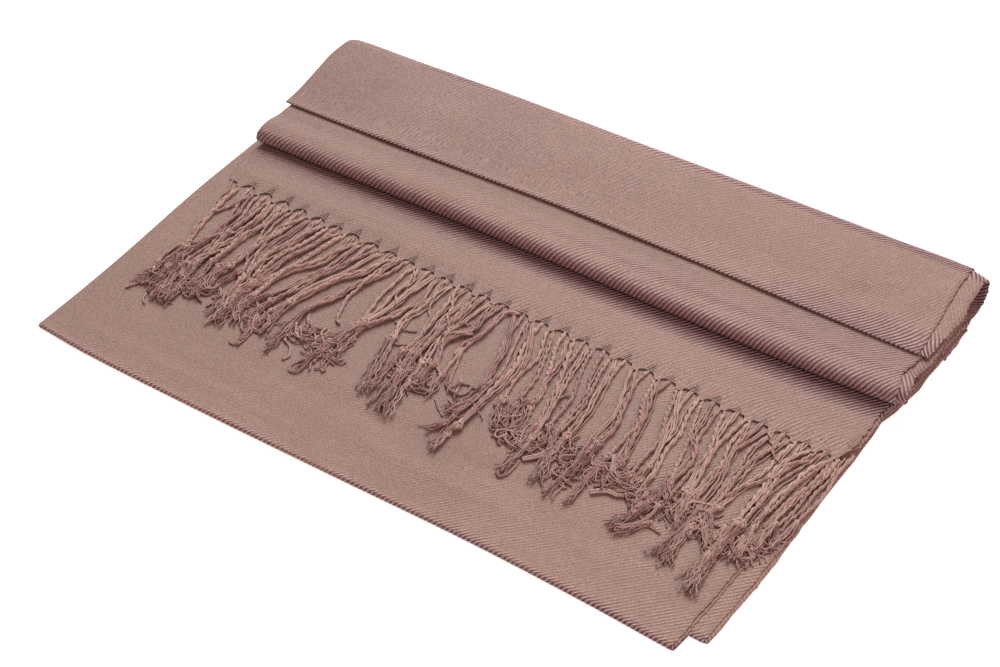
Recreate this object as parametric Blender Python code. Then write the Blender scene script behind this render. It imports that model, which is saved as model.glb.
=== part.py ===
"""A fringed pashmina shawl, folded in half lengthwise and then into layers, lying flat on a table.

The cloth is one woven rectangle. Folded in half along its length it becomes a long double strip:
the fold is its left edge and the two selvedges are its right edge. The strip is then folded into
leaves that lie on each other. Every stretch that shows is a solid of its own: a double cloth wall
that follows its fold in the Y-Z plane and runs across in X. Metres, +Z up.
"""

import math

import bpy
import bmesh

MM = 0.001
CM = 0.01

# ---------------------------------------------------------------- driving dimensions
LEAF = 1.3 * MM            # the cloth lies double, so one leaf is two sheets of 0.65 mm
GAP = 0.3 * MM             # air between neighbouring leaves
SHEET_STEP = 0.3 * MM      # the wall grows this much thinner where only the under sheet goes on
ROLL_RISE = 6.6 * MM       # outer height of the puffed middle fold
ROLL_PUFF = 0.7 * MM       # how far its bare front swells above the part under the top fold
TOP_CROWN = 0.8 * MM       # how far the top leaf swells between its two folds
BACK_TUCK = 0.5            # share of the height at which the back fold is roundest
ROLL_BROW = 8.5 * MM       # depth over which the middle fold's top rounds down to its front
ROLL_CHIN = 4.0 * MM       # and over which it turns back underneath
ROLL_TURN = 0.45           # share of its height at which its front stands furthest out
PUFF_START = 3.0 * MM      # it starts to swell this far in front of the top fold

PITCH = LEAF + GAP
TIGHT_BEND = PITCH / 2         # radius of a pressed fold's middle line
TIGHT_NOSE = TIGHT_BEND + LEAF / 2     # and of its outer side
NESTED_SET_BACK = 1.2 * CM     # the nested fold's front edge lies this far behind the front fold
FRONT_RAMP = 13.5 * MM         # over this depth the front leaf climbs onto the nested fold
ROOT_LINE = 12.95 * CM         # the fringed end's depth at the left edge
ROOT_SLANT = 0.25 * CM         # and how much deeper it lies at the right edge
CLOTH_WIDTH = 35.2 * CM        # the folded strip, from the left fold to the outer selvedge

# Undersides of the leaves, counted up from the table.
NESTED_Z = PITCH
FRONT_TOP_Z = NESTED_Z + 2 * PITCH
FRINGED_Z = FRONT_TOP_Z + PITCH
ROLL_Z = FRINGED_Z + PITCH
ROLL_TOP = ROLL_Z + ROLL_RISE
TOP_Z = ROLL_TOP + GAP

# Hidden ends, as depths from the front edge.
FRONT_LOWER_END = 21.7 * CM
FRONT_UPPER_END = 19.0 * CM
FRINGED_END = 18.9 * CM
ROLL_LOWER_END = 19.1 * CM
ROLL_UPPER_END = 23.8 * CM
TOP_LOWER_END = 23.4 * CM
NESTED_END = 23.9 * CM
WRAP_END = FRONT_LOWER_END + GAP
CORE_FRONT = 19.4 * CM
CORE_BACK = 24.2 * CM

# Every table's first row names its columns; the places in the tables are in centimetres.
# The foremost edge of each fold and the rearmost edge of the back fold, from left to right.
FOLD_LINES = (
    ("across", "front", "roll", "top", "back"),
    (-0.5, -0.08, 15.60, 18.42, 24.80),
    (0.0, -0.08, 15.62, 18.40, 25.05),
    (3.0, -0.24, 15.76, 18.50, 25.25),
    (9.0, -0.18, 16.02, 18.82, 25.68),
    (16.0, -0.02, 16.25, 19.26, 26.02),
    (24.0, 0.18, 16.42, 19.50, 26.42),
    (30.0, 0.12, 16.58, 19.62, 26.70),
    (34.0, -0.03, 16.80, 19.72, 26.86),
    (35.5, -0.05, 17.05, 19.78, 26.45),
)

# Side edges of each stretch: the left fold, the upper sheet's selvedge and the under sheet's.
FRONT_EDGES = (
    ("depth", "left", "upper", "under"),
    (-0.2, 0.02, 34.10, 34.22),
    (6.0, 0.10, 34.20, 34.34),
    (12.0, 0.00, 34.20, 34.32),
    (21.0, 0.00, 34.10, 34.25),
)
NESTED_EDGES = (
    ("depth", "left", "upper", "under"),
    (1.2, 0.45, 35.00, 35.16),
    (5.5, 0.40, 35.08, 35.26),
    (10.5, 0.40, 34.92, 35.08),
    (13.6, 0.40, 34.88, 35.02),
    (17.5, 0.45, 35.00, 35.15),
    (23.5, 0.40, 35.02, 35.20),
)
FRINGED_EDGES = (
    ("depth", "left", "upper", "under"),
    (12.9, 0.78, 34.72, 34.90),
    (15.0, 0.60, 34.82, 34.98),
    (19.0, 0.45, 34.90, 35.05),
)
ROLL_EDGES = (
    ("depth", "left", "upper", "under"),
    (15.6, 0.40, 35.08, 35.52),
    (17.2, 0.22, 34.98, 35.46),
    (19.4, 0.30, 34.72, 35.32),
    (23.0, 0.40, 34.60, 35.10),
)
TOP_EDGES = (
    ("depth", "left", "upper", "under"),
    (18.4, 0.08, 34.72, 35.06),
    (20.4, 0.00, 34.60, 35.10),
    (22.4, -0.20, 34.36, 35.20),
    (24.2, -0.42, 34.14, 34.98),
    (26.0, -0.36, 33.96, 34.90),
    (26.8, -0.20, 33.92, 34.86),
)

# The leaves' left ends: distance in from the fold, and share of the full thickness there.
LEFT_NOSE = ((0.0, 0.35), (0.4 * MM, 0.8), (1.3 * MM, 1.0))

# The hidden layers: how far their selvedges reach to the right, from the lowest up (cm), and
# the place of their left folds. Between two of them a groove runs in from either side.
CORE_REACH = (34.60, 35.00, 34.40, 34.85, 34.50)
CORE_LEFT = 0.50 * CM
CORE_GROOVE = 0.40 * CM
# Their ends: share of the stack's depth, and share of its height there.
CORE_ENDS = ((0.0, 0.9), (0.04, 1.0), (0.8, 1.0), (0.93, 0.8), (1.0, 0.45))

# Fringe: one root of two cords on each web between two notches, and one cord of the under
# sheet's row behind each notch.
ROOT_COUNT = 31
ROOT_PITCH = 1.105 * CM
FIRST_ROOT = 1.38 * CM
CORD_SPREAD = 3.0 * MM         # between the two cords of one root
CORD_WIDTH = 2.1 * MM
CORD_HEIGHT = 1.6 * MM
CORD_TUFT = 1.25               # share of the cord's size where it loosens just before its tip
CORD_TIP = 0.6                 # and at the tip
CORD_STEPS = 7
STRIP_DEPTH = 2.0 * MM         # the narrow strip that holds a row of cords, along the cords
STRIP_HEIGHT = 0.7 * MM
STRIP_MARGIN = 3.0 * MM        # the strip reaches this far past its first and last cord
UPPER_LIFT = 1.55 * MM         # the upper row's cords climb this far on leaving their strip
UNDER_LIFT = 0.55 * MM         # and the under row's

# Tassels that lie together: how many roots each one has, then where its cords pass half way
# down, at the knot and at the tip, with their spread at the knot and at the tip.
TASSELS = (
    ("roots", "mid_x", "mid_y", "knot_x", "knot_y", "tip_x", "tip_y", "knot_spread", "tip_spread"),
    (4, 2.8, 10.4, 3.2, 7.4, 3.7, 4.4, 2.5, 3.3),
    (4, 6.4, 10.0, 6.7, 6.8, 7.6, 4.2, 2.4, 2.8),
    (3, 11.0, 10.4, 11.4, 7.2, 11.4, 4.3, 1.8, 2.3),
    (4, 15.2, 10.0, 15.4, 7.6, 16.2, 4.3, 2.4, 3.0),
    (2, 18.4, 10.0, 19.1, 6.2, 19.3, 3.9, 1.2, 1.5),
    (2, 20.4, 10.2, 20.9, 7.6, 21.6, 5.6, 1.2, 1.6),
    (1, 22.3, 10.0, 22.9, 6.4, 22.8, 3.9, 0.65, 0.8),
    (3, 24.2, 10.3, 24.7, 7.0, 25.6, 3.9, 1.8, 2.3),
    (1, 26.4, 10.6, 26.9, 7.6, 27.5, 6.0, 0.7, 0.9),
    (2, 28.2, 10.0, 29.2, 5.8, 29.6, 3.7, 1.2, 1.8),
    (2, 30.2, 9.6, 31.0, 6.0, 31.9, 3.3, 1.2, 1.4),
    (1, 31.9, 10.0, 32.3, 7.4, 33.0, 3.2, 0.65, 0.75),
    (1, 33.2, 9.9, 33.6, 7.2, 34.0, 4.6, 0.65, 0.7),
    (1, 34.4, 10.6, 34.6, 8.4, 34.7, 6.3, 0.6, 0.6),
)
TIP_STAGGER = 0.45 * CM        # cords end up to this much sooner or later than their tassel
TIP_TURN = 2.4                 # radians of that to-and-fro from one cord to the next

COLOURS = {
    "front_fold": (0.41, 0.28, 0.24),
    "nested_fold": (0.34, 0.22, 0.19),
    "fringed_end": (0.43, 0.30, 0.26),
    "fringe": (0.38, 0.26, 0.22),
    "middle_fold": (0.39, 0.26, 0.23),
    "top_fold": (0.42, 0.29, 0.25),
    "inner_layers": (0.24, 0.15, 0.13),
}
CLOTH_ROUGHNESS = 0.62


# ---------------------------------------------------------------- small helpers
def column(table, name):
    """One named column of a table."""
    place = table[0].index(name)
    return [row[place] for row in table[1:]]


def smooth_value(xs, ys, x):
    """Read a curve through points at x: cubic pieces whose slopes come from the neighbours."""
    last = len(xs) - 1
    if x <= xs[0]:
        return ys[0]
    if x >= xs[last]:
        return ys[last]
    i = max(k for k in range(last) if xs[k] <= x)
    slopes = []
    for k in (i, i + 1):
        a, b = max(k - 1, 0), min(k + 1, last)
        slopes.append((ys[b] - ys[a]) / (xs[b] - xs[a]))
    span = xs[i + 1] - xs[i]
    t = (x - xs[i]) / span
    h1 = 2 * t ** 3 - 3 * t ** 2 + 1
    h2 = t ** 3 - 2 * t ** 2 + t
    h3 = 3 * t ** 2 - 2 * t ** 3
    h4 = t ** 3 - t ** 2
    return h1 * ys[i] + h2 * span * slopes[0] + h3 * ys[i + 1] + h4 * span * slopes[1]


def fold_line(name, x):
    """Depth of a fold's edge, in metres, at a distance across from the left fold."""
    return smooth_value(column(FOLD_LINES, "across"), column(FOLD_LINES, name), x / CM) * CM


def edge_at(edges, side, depth):
    """Place of a side edge, in metres, at a depth from the front edge."""
    return smooth_value(column(edges, "depth"), column(edges, side), depth / CM) * CM


def ease(t):
    """Go from 0 to 1 with a level start and end."""
    t = min(max(t, 0.0), 1.0)
    return t * t * (3 - 2 * t)


def root_line(x):
    """Depth of the fringed end at a distance across."""
    return ROOT_LINE + ROOT_SLANT * x / CLOTH_WIDTH


def straight(start, end, z, count):
    """Evenly spaced (y, z) points of a level leg, without its last point."""
    return [(start + (end - start) * i / count, z) for i in range(count)]


def quarter(centre, reach, rise, start, steps):
    """Points of a quarter ellipse about a centre, from an angle in degrees, without its last."""
    angles = [math.radians(start + 90.0 * i / steps) for i in range(steps)]
    return [(centre[0] + reach * math.cos(a), centre[1] + rise * math.sin(a)) for a in angles]


def tight_fold(y, z):
    """Half a turn of a leaf's middle line about (y, z), from its upper to its lower leaf."""
    return quarter((y, z), TIGHT_BEND, TIGHT_BEND, 90, 2) + quarter((y, z), TIGHT_BEND, TIGHT_BEND, 180, 2)


def make_object(name, bm, colour):
    """Turn a bmesh into a named, smooth-shaded object with a material of its own."""
    bmesh.ops.recalc_face_normals(bm, faces=bm.faces[:])
    mesh = bpy.data.meshes.new(name)
    bm.to_mesh(mesh)
    bm.free()
    mesh.shade_smooth()
    mesh.set_sharp_from_angle(angle=math.radians(50))
    material = bpy.data.materials.new(name + "_cloth")
    material.use_nodes = True
    shader = material.node_tree.nodes["Principled BSDF"]
    shader.inputs["Base Color"].default_value = (*colour, 1.0)
    shader.inputs["Roughness"].default_value = CLOTH_ROUGHNESS
    shader.inputs["Metallic"].default_value = 0.0
    mesh.materials.append(material)
    obj = bpy.data.objects.new(name, mesh)
    bpy.context.scene.collection.objects.link(obj)
    return obj


def quad_grid(bm, rows):
    """Join rows of vertices with quads."""
    for row, following in zip(rows, rows[1:]):
        for i in range(len(row) - 1):
            bm.faces.new((row[i], row[i + 1], following[i + 1], following[i]))


# ---------------------------------------------------------------- a leaf of double cloth
def leaf_stations(edges, depth, spans):
    """Places across a leaf, each with the wall's thickness on its outer and its inner side."""
    half = LEAF / 2
    left = edge_at(edges, "left", depth)
    upper = edge_at(edges, "upper", depth)
    under = edge_at(edges, "under", depth)
    stations = [(left + inset, share * half, share * half) for inset, share in LEFT_NOSE]
    first = stations[-1][0]
    for k in range(1, spans + 1):
        stations.append((first + (upper - first) * k / spans, half, half))
    for x in (upper + GAP, under):
        stations.append((x, half - SHEET_STEP, half))
    return stations


def outward(line, j):
    """Unit (y, z) direction to the cloth's outer side at point j of a leaf's middle line."""
    ahead = line[min(j + 1, len(line) - 1)]
    behind = line[max(j - 1, 0)]
    dy, dz = ahead[0] - behind[0], ahead[1] - behind[1]
    length = math.hypot(dy, dz)
    return dz / length, -dy / length


def leaf_solid(name, path, edges, spans, colour):
    """A double cloth wall on a folded path.

    path(x) gives the wall's middle line as (y, z) points. The outer side is above where the path
    runs forward and below where it runs back. The left end is a narrow rounded fold. On the
    right the upper sheet stops first, and the thinner under sheet goes on.
    """
    bm = bmesh.new()
    outer_rows, inner_rows = [], []
    for j, (depth, _) in enumerate(path(CLOTH_WIDTH / 2)):
        outer, inner = [], []
        for x, above, below in leaf_stations(edges, depth, spans):
            line = path(x)
            y, z = line[j]
            ny, nz = outward(line, j)
            outer.append(bm.verts.new((x, y + ny * above, z + nz * above)))
            inner.append(bm.verts.new((x, y - ny * below, z - nz * below)))
        outer_rows.append(outer)
        inner_rows.append(inner)
    quad_grid(bm, outer_rows)
    quad_grid(bm, inner_rows)
    for end in (0, -1):
        quad_grid(bm, [outer_rows[end], inner_rows[end]])
        quad_grid(bm, [[row[end] for row in outer_rows], [row[end] for row in inner_rows]])
    return make_object(name, bm, colour)


def front_path(x):
    """The front leaf from its hidden end forward, round the front fold and back on the table."""
    fold = fold_line("front", x) + TIGHT_NOSE
    high = FRONT_TOP_Z + LEAF / 2
    drop = high - TIGHT_NOSE - TIGHT_BEND
    line = straight(FRONT_UPPER_END, fold + FRONT_RAMP, high, 8)
    for i in range(6):
        line.append((fold + FRONT_RAMP * (1 - i / 6), high - drop * ease(i / 6)))
    line += tight_fold(fold, TIGHT_NOSE)
    line += straight(fold, FRONT_LOWER_END, LEAF / 2, 5)
    line.append((FRONT_LOWER_END, LEAF / 2))
    return line


def nested_path(x):
    """The nested fold: a tight fold whose two leaves lie between those of the front fold."""
    fold = fold_line("front", x) + NESTED_SET_BACK + TIGHT_NOSE
    middle = NESTED_Z + TIGHT_NOSE
    line = straight(NESTED_END, fold, middle + TIGHT_BEND, 6)
    line += tight_fold(fold, middle)
    line += straight(fold, NESTED_END, middle - TIGHT_BEND, 5)
    line.append((NESTED_END, middle - TIGHT_BEND))
    return line


def fringed_path(x):
    """The cloth's fringed end: a level leaf that comes forward from under the middle fold."""
    start, end = FRINGED_END, root_line(x)
    middle = FRINGED_Z + LEAF / 2
    return straight(start, end, middle, 5) + [(end, middle)]


def middle_path(x):
    """The puffed middle fold, from under the top fold forward, round its brow and back."""
    edge = fold_line("roll", x) + LEAF / 2
    brow = edge + ROLL_BROW
    low = ROLL_Z + LEAF / 2
    high = ROLL_TOP - LEAF / 2
    turn = low + ROLL_TURN * (high - low)
    line = []
    for i in range(10):
        y = ROLL_UPPER_END + (brow - ROLL_UPPER_END) * i / 9
        bare = fold_line("top", x) - PUFF_START - y
        line.append((y, high + ROLL_PUFF * ease(bare / ROLL_BROW)))
    peak = line.pop()[1]
    line += quarter((brow, turn), ROLL_BROW, peak - turn, 90, 5)
    line += quarter((edge + ROLL_CHIN, turn), ROLL_CHIN, turn - low, 180, 4)
    line += straight(edge + ROLL_CHIN, ROLL_LOWER_END, low, 3)
    line.append((ROLL_LOWER_END, low))
    return line


def top_path(x):
    """The outermost leaf: up round the back of the stack, forward over it, and a thin fold."""
    low = LEAF / 2
    high = TOP_Z + TIGHT_NOSE + TIGHT_BEND
    turn = low + BACK_TUCK * (high - low)
    reach = (high - low) / 2
    rear = fold_line("back", x) - LEAF / 2 - reach
    fold = fold_line("top", x) + TIGHT_NOSE
    line = straight(WRAP_END, rear, low, 3)
    line += quarter((rear, turn), reach, turn - low, 270, 4)
    line += quarter((rear, turn), reach, high - turn, 0, 4)
    for i in range(8):
        swell = TOP_CROWN * math.sin(math.pi * i / 8) ** 2
        line.append((rear + (fold - rear) * i / 8, high + swell))
    line += tight_fold(fold, TOP_Z + TIGHT_NOSE)
    line += straight(fold, TOP_LOWER_END, TOP_Z + LEAF / 2, 3)
    line.append((TOP_LOWER_END, TOP_Z + LEAF / 2))
    return line


# ---------------------------------------------------------------- the hidden layers
def inner_layers():
    """The folds that never show, as one rounded block whose sides are layered like cloth."""
    bottom = NESTED_Z + 2 * PITCH
    top = ROLL_TOP - LEAF - GAP
    pitch = (top - bottom + GAP) / len(CORE_REACH)
    left_side, right_side = [], []
    for i, reach in enumerate(CORE_REACH):
        low = bottom + i * pitch
        high = low + pitch - GAP
        right_side += [(reach * CM, low), (reach * CM, high)]
        left_side += [(CORE_LEFT, low), (CORE_LEFT, high)]
        if i < len(CORE_REACH) - 1:
            inner = min(reach, CORE_REACH[i + 1]) * CM - CORE_GROOVE
            right_side += [(inner, high), (inner, high + GAP)]
            left_side += [(CORE_LEFT + CORE_GROOVE, high), (CORE_LEFT + CORE_GROOVE, high + GAP)]
    centre = (bottom + top) / 2
    bm = bmesh.new()
    rings = []
    for t, share in CORE_ENDS:
        y = CORE_FRONT + (CORE_BACK - CORE_FRONT) * t
        right = [bm.verts.new((x, y, centre + (z - centre) * share)) for x, z in right_side]
        left = [bm.verts.new((x, y, centre + (z - centre) * share)) for x, z in left_side]
        rings.append((right, left))
    for end in (rings[0], rings[-1]):
        quad_grid(bm, [end[0], end[1]])
    loops = [right + left[::-1] + right[:1] for right, left in rings]
    quad_grid(bm, loops)
    return make_object("inner_layers", bm, COLOURS["inner_layers"])


# ---------------------------------------------------------------- the fringe
def tassel_of(number):
    """Which tassel a cord belongs to, and its place in it from 0 to 1.

    number counts roots from the left: the cords of the first root have numbers from 0 to 1.
    """
    first = 0
    for tassel in TASSELS[1:]:
        size = tassel[0]
        if number <= first + size:
            return tassel, (number - first) / size
        first += size


def cord_line(number, start_x, start_y, serial):
    """Plan of one cord: by way of its tassel's middle and knot to its tip.

    Gives the distances forward from the edge and the places across at those distances.
    """
    tassel, share = tassel_of(number)
    row = {name: value * CM for name, value in zip(TASSELS[0], tassel)}
    offset = share - 0.5
    root_spread = tassel[0] * ROOT_PITCH
    mid_spread = (root_spread + row["knot_spread"]) / 2
    places = (
        start_x,
        row["mid_x"] + offset * mid_spread,
        row["knot_x"] + offset * row["knot_spread"],
        row["tip_x"] + offset * row["tip_spread"],
    )
    tip_y = row["tip_y"] + TIP_STAGGER * math.sin(TIP_TURN * serial)
    forward = (0.0, start_y - row["mid_y"], start_y - row["knot_y"], start_y - tip_y)
    return forward, places


def cord_thickness(step):
    """Share of its full size that a cord has at one of its steps: a loose tuft, then a tip."""
    if step == CORD_STEPS:
        return CORD_TIP
    return CORD_TUFT if step == CORD_STEPS - 1 else 1.0


def strip_body(bm, under_z, starts):
    """The strip that holds a row of cords, left open where each cord grows out of its front.

    starts lists the cords' places across. Gives the four vertices of each cord's root.
    """
    left, right = starts[0] - STRIP_MARGIN, starts[-1] + STRIP_MARGIN
    cuts = [left]
    for x in starts:
        cuts += [x - CORD_WIDTH / 2, x + CORD_WIDTH / 2]
    cuts.append(right)
    low, high = [], []
    for x in cuts:
        y = root_line(x) - GAP - STRIP_DEPTH
        low.append(bm.verts.new((x, y, under_z)))
        high.append(bm.verts.new((x, y, under_z + STRIP_HEIGHT)))
    back_low = [bm.verts.new((x, root_line(x) - GAP, under_z)) for x in (right, left)]
    back_high = [bm.verts.new((x, root_line(x) - GAP, under_z + STRIP_HEIGHT)) for x in (right, left)]
    bm.faces.new(low + back_low)
    bm.faces.new(high + back_high)
    bm.faces.new((back_low[0], back_high[0], back_high[1], back_low[1]))
    bm.faces.new((low[-1], high[-1], back_high[0], back_low[0]))
    bm.faces.new((low[0], high[0], back_high[1], back_low[1]))
    for i in range(0, len(cuts) - 1, 2):
        bm.faces.new((low[i], low[i + 1], high[i + 1], high[i]))
    return [(low[i], low[i + 1], high[i + 1], high[i]) for i in range(1, len(cuts) - 1, 2)]


def cord_body(bm, ring, forward, places, start, lift):
    """Grow one four-sided cord from the ring of its root along its plan.

    start is the (y, z) of the root's middle, and lift how far the cord climbs on leaving it.
    """
    for step in range(1, CORD_STEPS + 1):
        reach = forward[-1] * step / CORD_STEPS
        place = smooth_value(forward, places, reach)
        sooner = smooth_value(forward, places, reach - MM)
        later = smooth_value(forward, places, reach + MM)
        heading = math.atan2(later - sooner, 2 * MM)
        share = cord_thickness(step)
        corners = []
        for across, up in ((-0.5, -0.5), (0.5, -0.5), (0.5, 0.5), (-0.5, 0.5)):
            sideways = across * CORD_WIDTH * share
            corners.append(bm.verts.new((
                place + sideways * math.cos(heading),
                start[0] - reach + sideways * math.sin(heading),
                start[1] + lift + up * CORD_HEIGHT * share,
            )))
        for k in range(4):
            bm.faces.new((ring[k], ring[(k + 1) % 4], corners[(k + 1) % 4], corners[k]))
        ring = corners
    bm.faces.new(ring)


def fringe_row(name, under_z, cords, lift, colour):
    """A narrow strip with a row of cords: one closed body.

    cords lists (number, place across) for each cord, and under_z is the strip's underside.
    """
    bm = bmesh.new()
    rings = strip_body(bm, under_z, [x for _, x in cords])
    for serial, ((number, x), ring) in enumerate(zip(cords, rings)):
        start_y = root_line(x) - GAP - STRIP_DEPTH
        forward, places = cord_line(number, x, start_y, serial)
        cord_body(bm, ring, forward, places, (start_y, under_z + STRIP_HEIGHT / 2), lift)
    return make_object(name, bm, colour)


def upper_cords():
    """Two cords at each root of the upper sheet's fringe."""
    cords = []
    for i in range(ROOT_COUNT):
        x = FIRST_ROOT + i * ROOT_PITCH
        cords.append((i + 0.25, x - CORD_SPREAD / 2))
        cords.append((i + 0.75, x + CORD_SPREAD / 2))
    return cords


def under_cords():
    """One cord behind each notch, of the under sheet's fringe."""
    return [(i + 1, FIRST_ROOT + (i + 0.5) * ROOT_PITCH) for i in range(ROOT_COUNT - 1)]


# ---------------------------------------------------------------- the shawl
def stand_on_origin(parts):
    """Move every piece so that the middle of the shawl's underside is at the origin."""
    points = [vertex.co for obj in parts for vertex in obj.data.vertices]
    middle = [(min(p[i] for p in points) + max(p[i] for p in points)) / 2 for i in (0, 1)]
    for obj in parts:
        obj.location = (-middle[0], -middle[1], 0.0)


def build_shawl():
    """Model every stretch of the folded cloth and its fringe."""
    for old in list(bpy.data.objects):
        bpy.data.objects.remove(old)
    upper_z = FRINGED_Z + STRIP_HEIGHT + GAP
    parts = [
        leaf_solid("front_fold", front_path, FRONT_EDGES, 12, COLOURS["front_fold"]),
        leaf_solid("nested_fold", nested_path, NESTED_EDGES, 8, COLOURS["nested_fold"]),
        leaf_solid("fringed_end", fringed_path, FRINGED_EDGES, 12, COLOURS["fringed_end"]),
        leaf_solid("middle_fold", middle_path, ROLL_EDGES, 12, COLOURS["middle_fold"]),
        leaf_solid("top_fold", top_path, TOP_EDGES, 12, COLOURS["top_fold"]),
        inner_layers(),
        fringe_row("fringe_upper", upper_z, upper_cords(), UPPER_LIFT, COLOURS["fringe"]),
        fringe_row("fringe_under", FRINGED_Z, under_cords(), UNDER_LIFT, COLOURS["fringe"]),
    ]
    stand_on_origin(parts)


build_shawl()
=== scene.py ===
# %% [markdown]
# # A folded pashmina shawl
#
# This notebook dresses a CAD model of a shawl that lies folded on a table. The shawl is one woven
# rectangle with a twisted fringe at each short end. It is folded in half along its length, so that
# it becomes a long double strip with a fold on the left and two selvedges on the right, and the
# strip is then folded into leaves. The CAD model gives each leaf as a plain rounded wall. Here each
# leaf becomes two thin sheets of twill with real selvedges, and each fringe cord becomes two twisted
# plies or a few loose yarns.

# %% Load the CAD model
import math

import bpy
import numpy as np
from mathutils import Matrix, Vector


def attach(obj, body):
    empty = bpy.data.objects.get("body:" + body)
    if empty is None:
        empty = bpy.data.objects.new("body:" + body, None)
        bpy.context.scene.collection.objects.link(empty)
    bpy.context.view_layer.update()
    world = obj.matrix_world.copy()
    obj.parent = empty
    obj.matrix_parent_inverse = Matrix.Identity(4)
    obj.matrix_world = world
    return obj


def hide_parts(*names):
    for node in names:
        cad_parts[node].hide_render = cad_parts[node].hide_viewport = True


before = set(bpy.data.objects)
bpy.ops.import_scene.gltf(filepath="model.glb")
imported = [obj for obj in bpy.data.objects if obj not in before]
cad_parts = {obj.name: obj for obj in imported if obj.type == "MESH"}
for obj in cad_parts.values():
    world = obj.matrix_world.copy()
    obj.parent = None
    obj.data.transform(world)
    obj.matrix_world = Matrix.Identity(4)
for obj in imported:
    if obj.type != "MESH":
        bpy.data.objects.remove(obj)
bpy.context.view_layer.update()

# %% [markdown]
# ## The camera
#
# A camera can be turned with angles or built from the direction that it looks back along. The second
# way needs no trial: azimuth 34.8 degrees to the right of the front and 42.2 degrees up, 93 mm lens.

# %% Camera
MM = 0.001
CM = 0.01
CAMERA_PLACE = Vector((0.4981, -0.7300, 0.7900))
CAMERA_AZIMUTH = math.radians(34.8)
CAMERA_HEIGHT = math.radians(42.2)

camera_data = bpy.data.cameras.new("camera")
camera_data.sensor_width = 36.0
camera_data.lens = 92.63
camera_data.clip_start = 0.05
camera = bpy.data.objects.new("camera", camera_data)
bpy.context.scene.collection.objects.link(camera)
backward = Vector((
    math.sin(CAMERA_AZIMUTH) * math.cos(CAMERA_HEIGHT),
    -math.cos(CAMERA_AZIMUTH) * math.cos(CAMERA_HEIGHT),
    math.sin(CAMERA_HEIGHT),
))
sideways = Vector((0, 0, 1)).cross(backward).normalized()
upward = backward.cross(sideways)
turn = Matrix((sideways, upward, backward)).transposed()
camera.matrix_world = Matrix.Translation(CAMERA_PLACE) @ turn.to_4x4()
bpy.context.scene.camera = camera
print("camera looks along", tuple(round(-value, 3) for value in backward))

# %% [markdown]
# ## Table, light and background
#
# Soft studio light needs a pale table, one large lamp and a bright sky for the shadows. The large
# lamp is a window behind and above the shawl, so the rounded folds catch it along their brows and
# throw a soft shadow forward. A small rosy lamp at the front right lifts the fringe and the fold
# under the brow. The table glows a little, so that it stays white beside the shawl. The sky is rosy
# where it lights the cloth, like light that goes to and fro between mauve folds, and white where it
# shows.

# %% Helpers for materials
def new_material(name):
    """A material with its node tree and its Principled shader."""
    paint = bpy.data.materials.new(name)
    paint.use_nodes = True
    return paint, paint.node_tree, paint.node_tree.nodes["Principled BSDF"]


def feed(tree, node, inputs):
    """Set a node's inputs, from other nodes' sockets or from plain values."""
    for key, value in dict(inputs).items():
        if isinstance(value, bpy.types.NodeSocket):
            tree.links.new(value, node.inputs[key])
        else:
            node.inputs[key].default_value = value


def wire(tree, kind, inputs=(), **settings):
    """Add a node, set its options and feed its inputs."""
    node = tree.nodes.new(kind)
    for key, value in settings.items():
        setattr(node, key, value)
    feed(tree, node, inputs)
    return node


# %% Table and lights
TABLE_HALF = 3.0
TABLE_GLOW = 0.62
TABLE_Z = -0.2 * MM            # just clear of the cloth
ROSY_SKY = (1.0, 0.44, 0.49, 1)
WHITE_SKY = (2.8, 2.8, 2.8, 1)


def add_light(name, place, target, size, power, colour=(1, 1, 1)):
    """A square soft light that looks at a target."""
    data = bpy.data.lights.new(name, "AREA")
    data.shape = "SQUARE"
    data.size = size
    data.energy = power
    data.color = colour
    light = bpy.data.objects.new(name, data)
    light.location = place
    direction = Vector(target) - Vector(place)
    light.rotation_euler = direction.to_track_quat("-Z", "Y").to_euler()
    bpy.context.scene.collection.objects.link(light)


table_mesh = bpy.data.meshes.new("table")
corners = ((-1, -1), (1, -1), (1, 1), (-1, 1))
table_mesh.from_pydata([(TABLE_HALF * x, TABLE_HALF * y, 0) for x, y in corners], [], [(0, 1, 2, 3)])
table = bpy.data.objects.new("table", table_mesh)
table.location.z = TABLE_Z
bpy.context.scene.collection.objects.link(table)
table_paint, table_tree, table_shader = new_material("white_table")
feed(table_tree, table_shader, {
    "Base Color": (0.93, 0.93, 0.93, 1), "Roughness": 0.9, "Specular IOR Level": 0.1,
    "Emission Color": (1, 1, 1, 1), "Emission Strength": TABLE_GLOW})
table_mesh.materials.append(table_paint)

add_light("window", place=(-2.3, 4.3, 4.6), target=(0, 0.02, 0), size=4.6, power=712)
add_light("fill", place=(1.75, -0.80, 1.35), target=(0.1, 0, 0), size=1.2, power=29,
          colour=(1.0, 0.76, 0.78))

world = bpy.data.worlds.new("studio")
world.use_nodes = True
sky_tree = world.node_tree
is_seen = wire(sky_tree, "ShaderNodeLightPath").outputs["Is Camera Ray"]
sky_mix = wire(sky_tree, "ShaderNodeMix", {"Factor": is_seen, 6: ROSY_SKY, 7: WHITE_SKY}, data_type="RGBA")
feed(sky_tree, sky_tree.nodes["Background"], {"Strength": 0.36, "Color": sky_mix.outputs[2]})
bpy.context.scene.world = world
bpy.context.scene.view_settings.view_transform = "Standard"

# %% [markdown]
# ## Where the folds lie
#
# The leaves follow a few lines: each fold's foremost edge, and each stretch's side edges. They are
# kept as short tables in centimetres from the left fold and the front edge, close to those of the CAD
# model. A smooth curve through the rows gives every value between them.

# %% Tables of the folds
SHIFT = np.array([-0.17533, -0.13311, 0.0])   # from the shawl's front left corner to the frame

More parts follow.
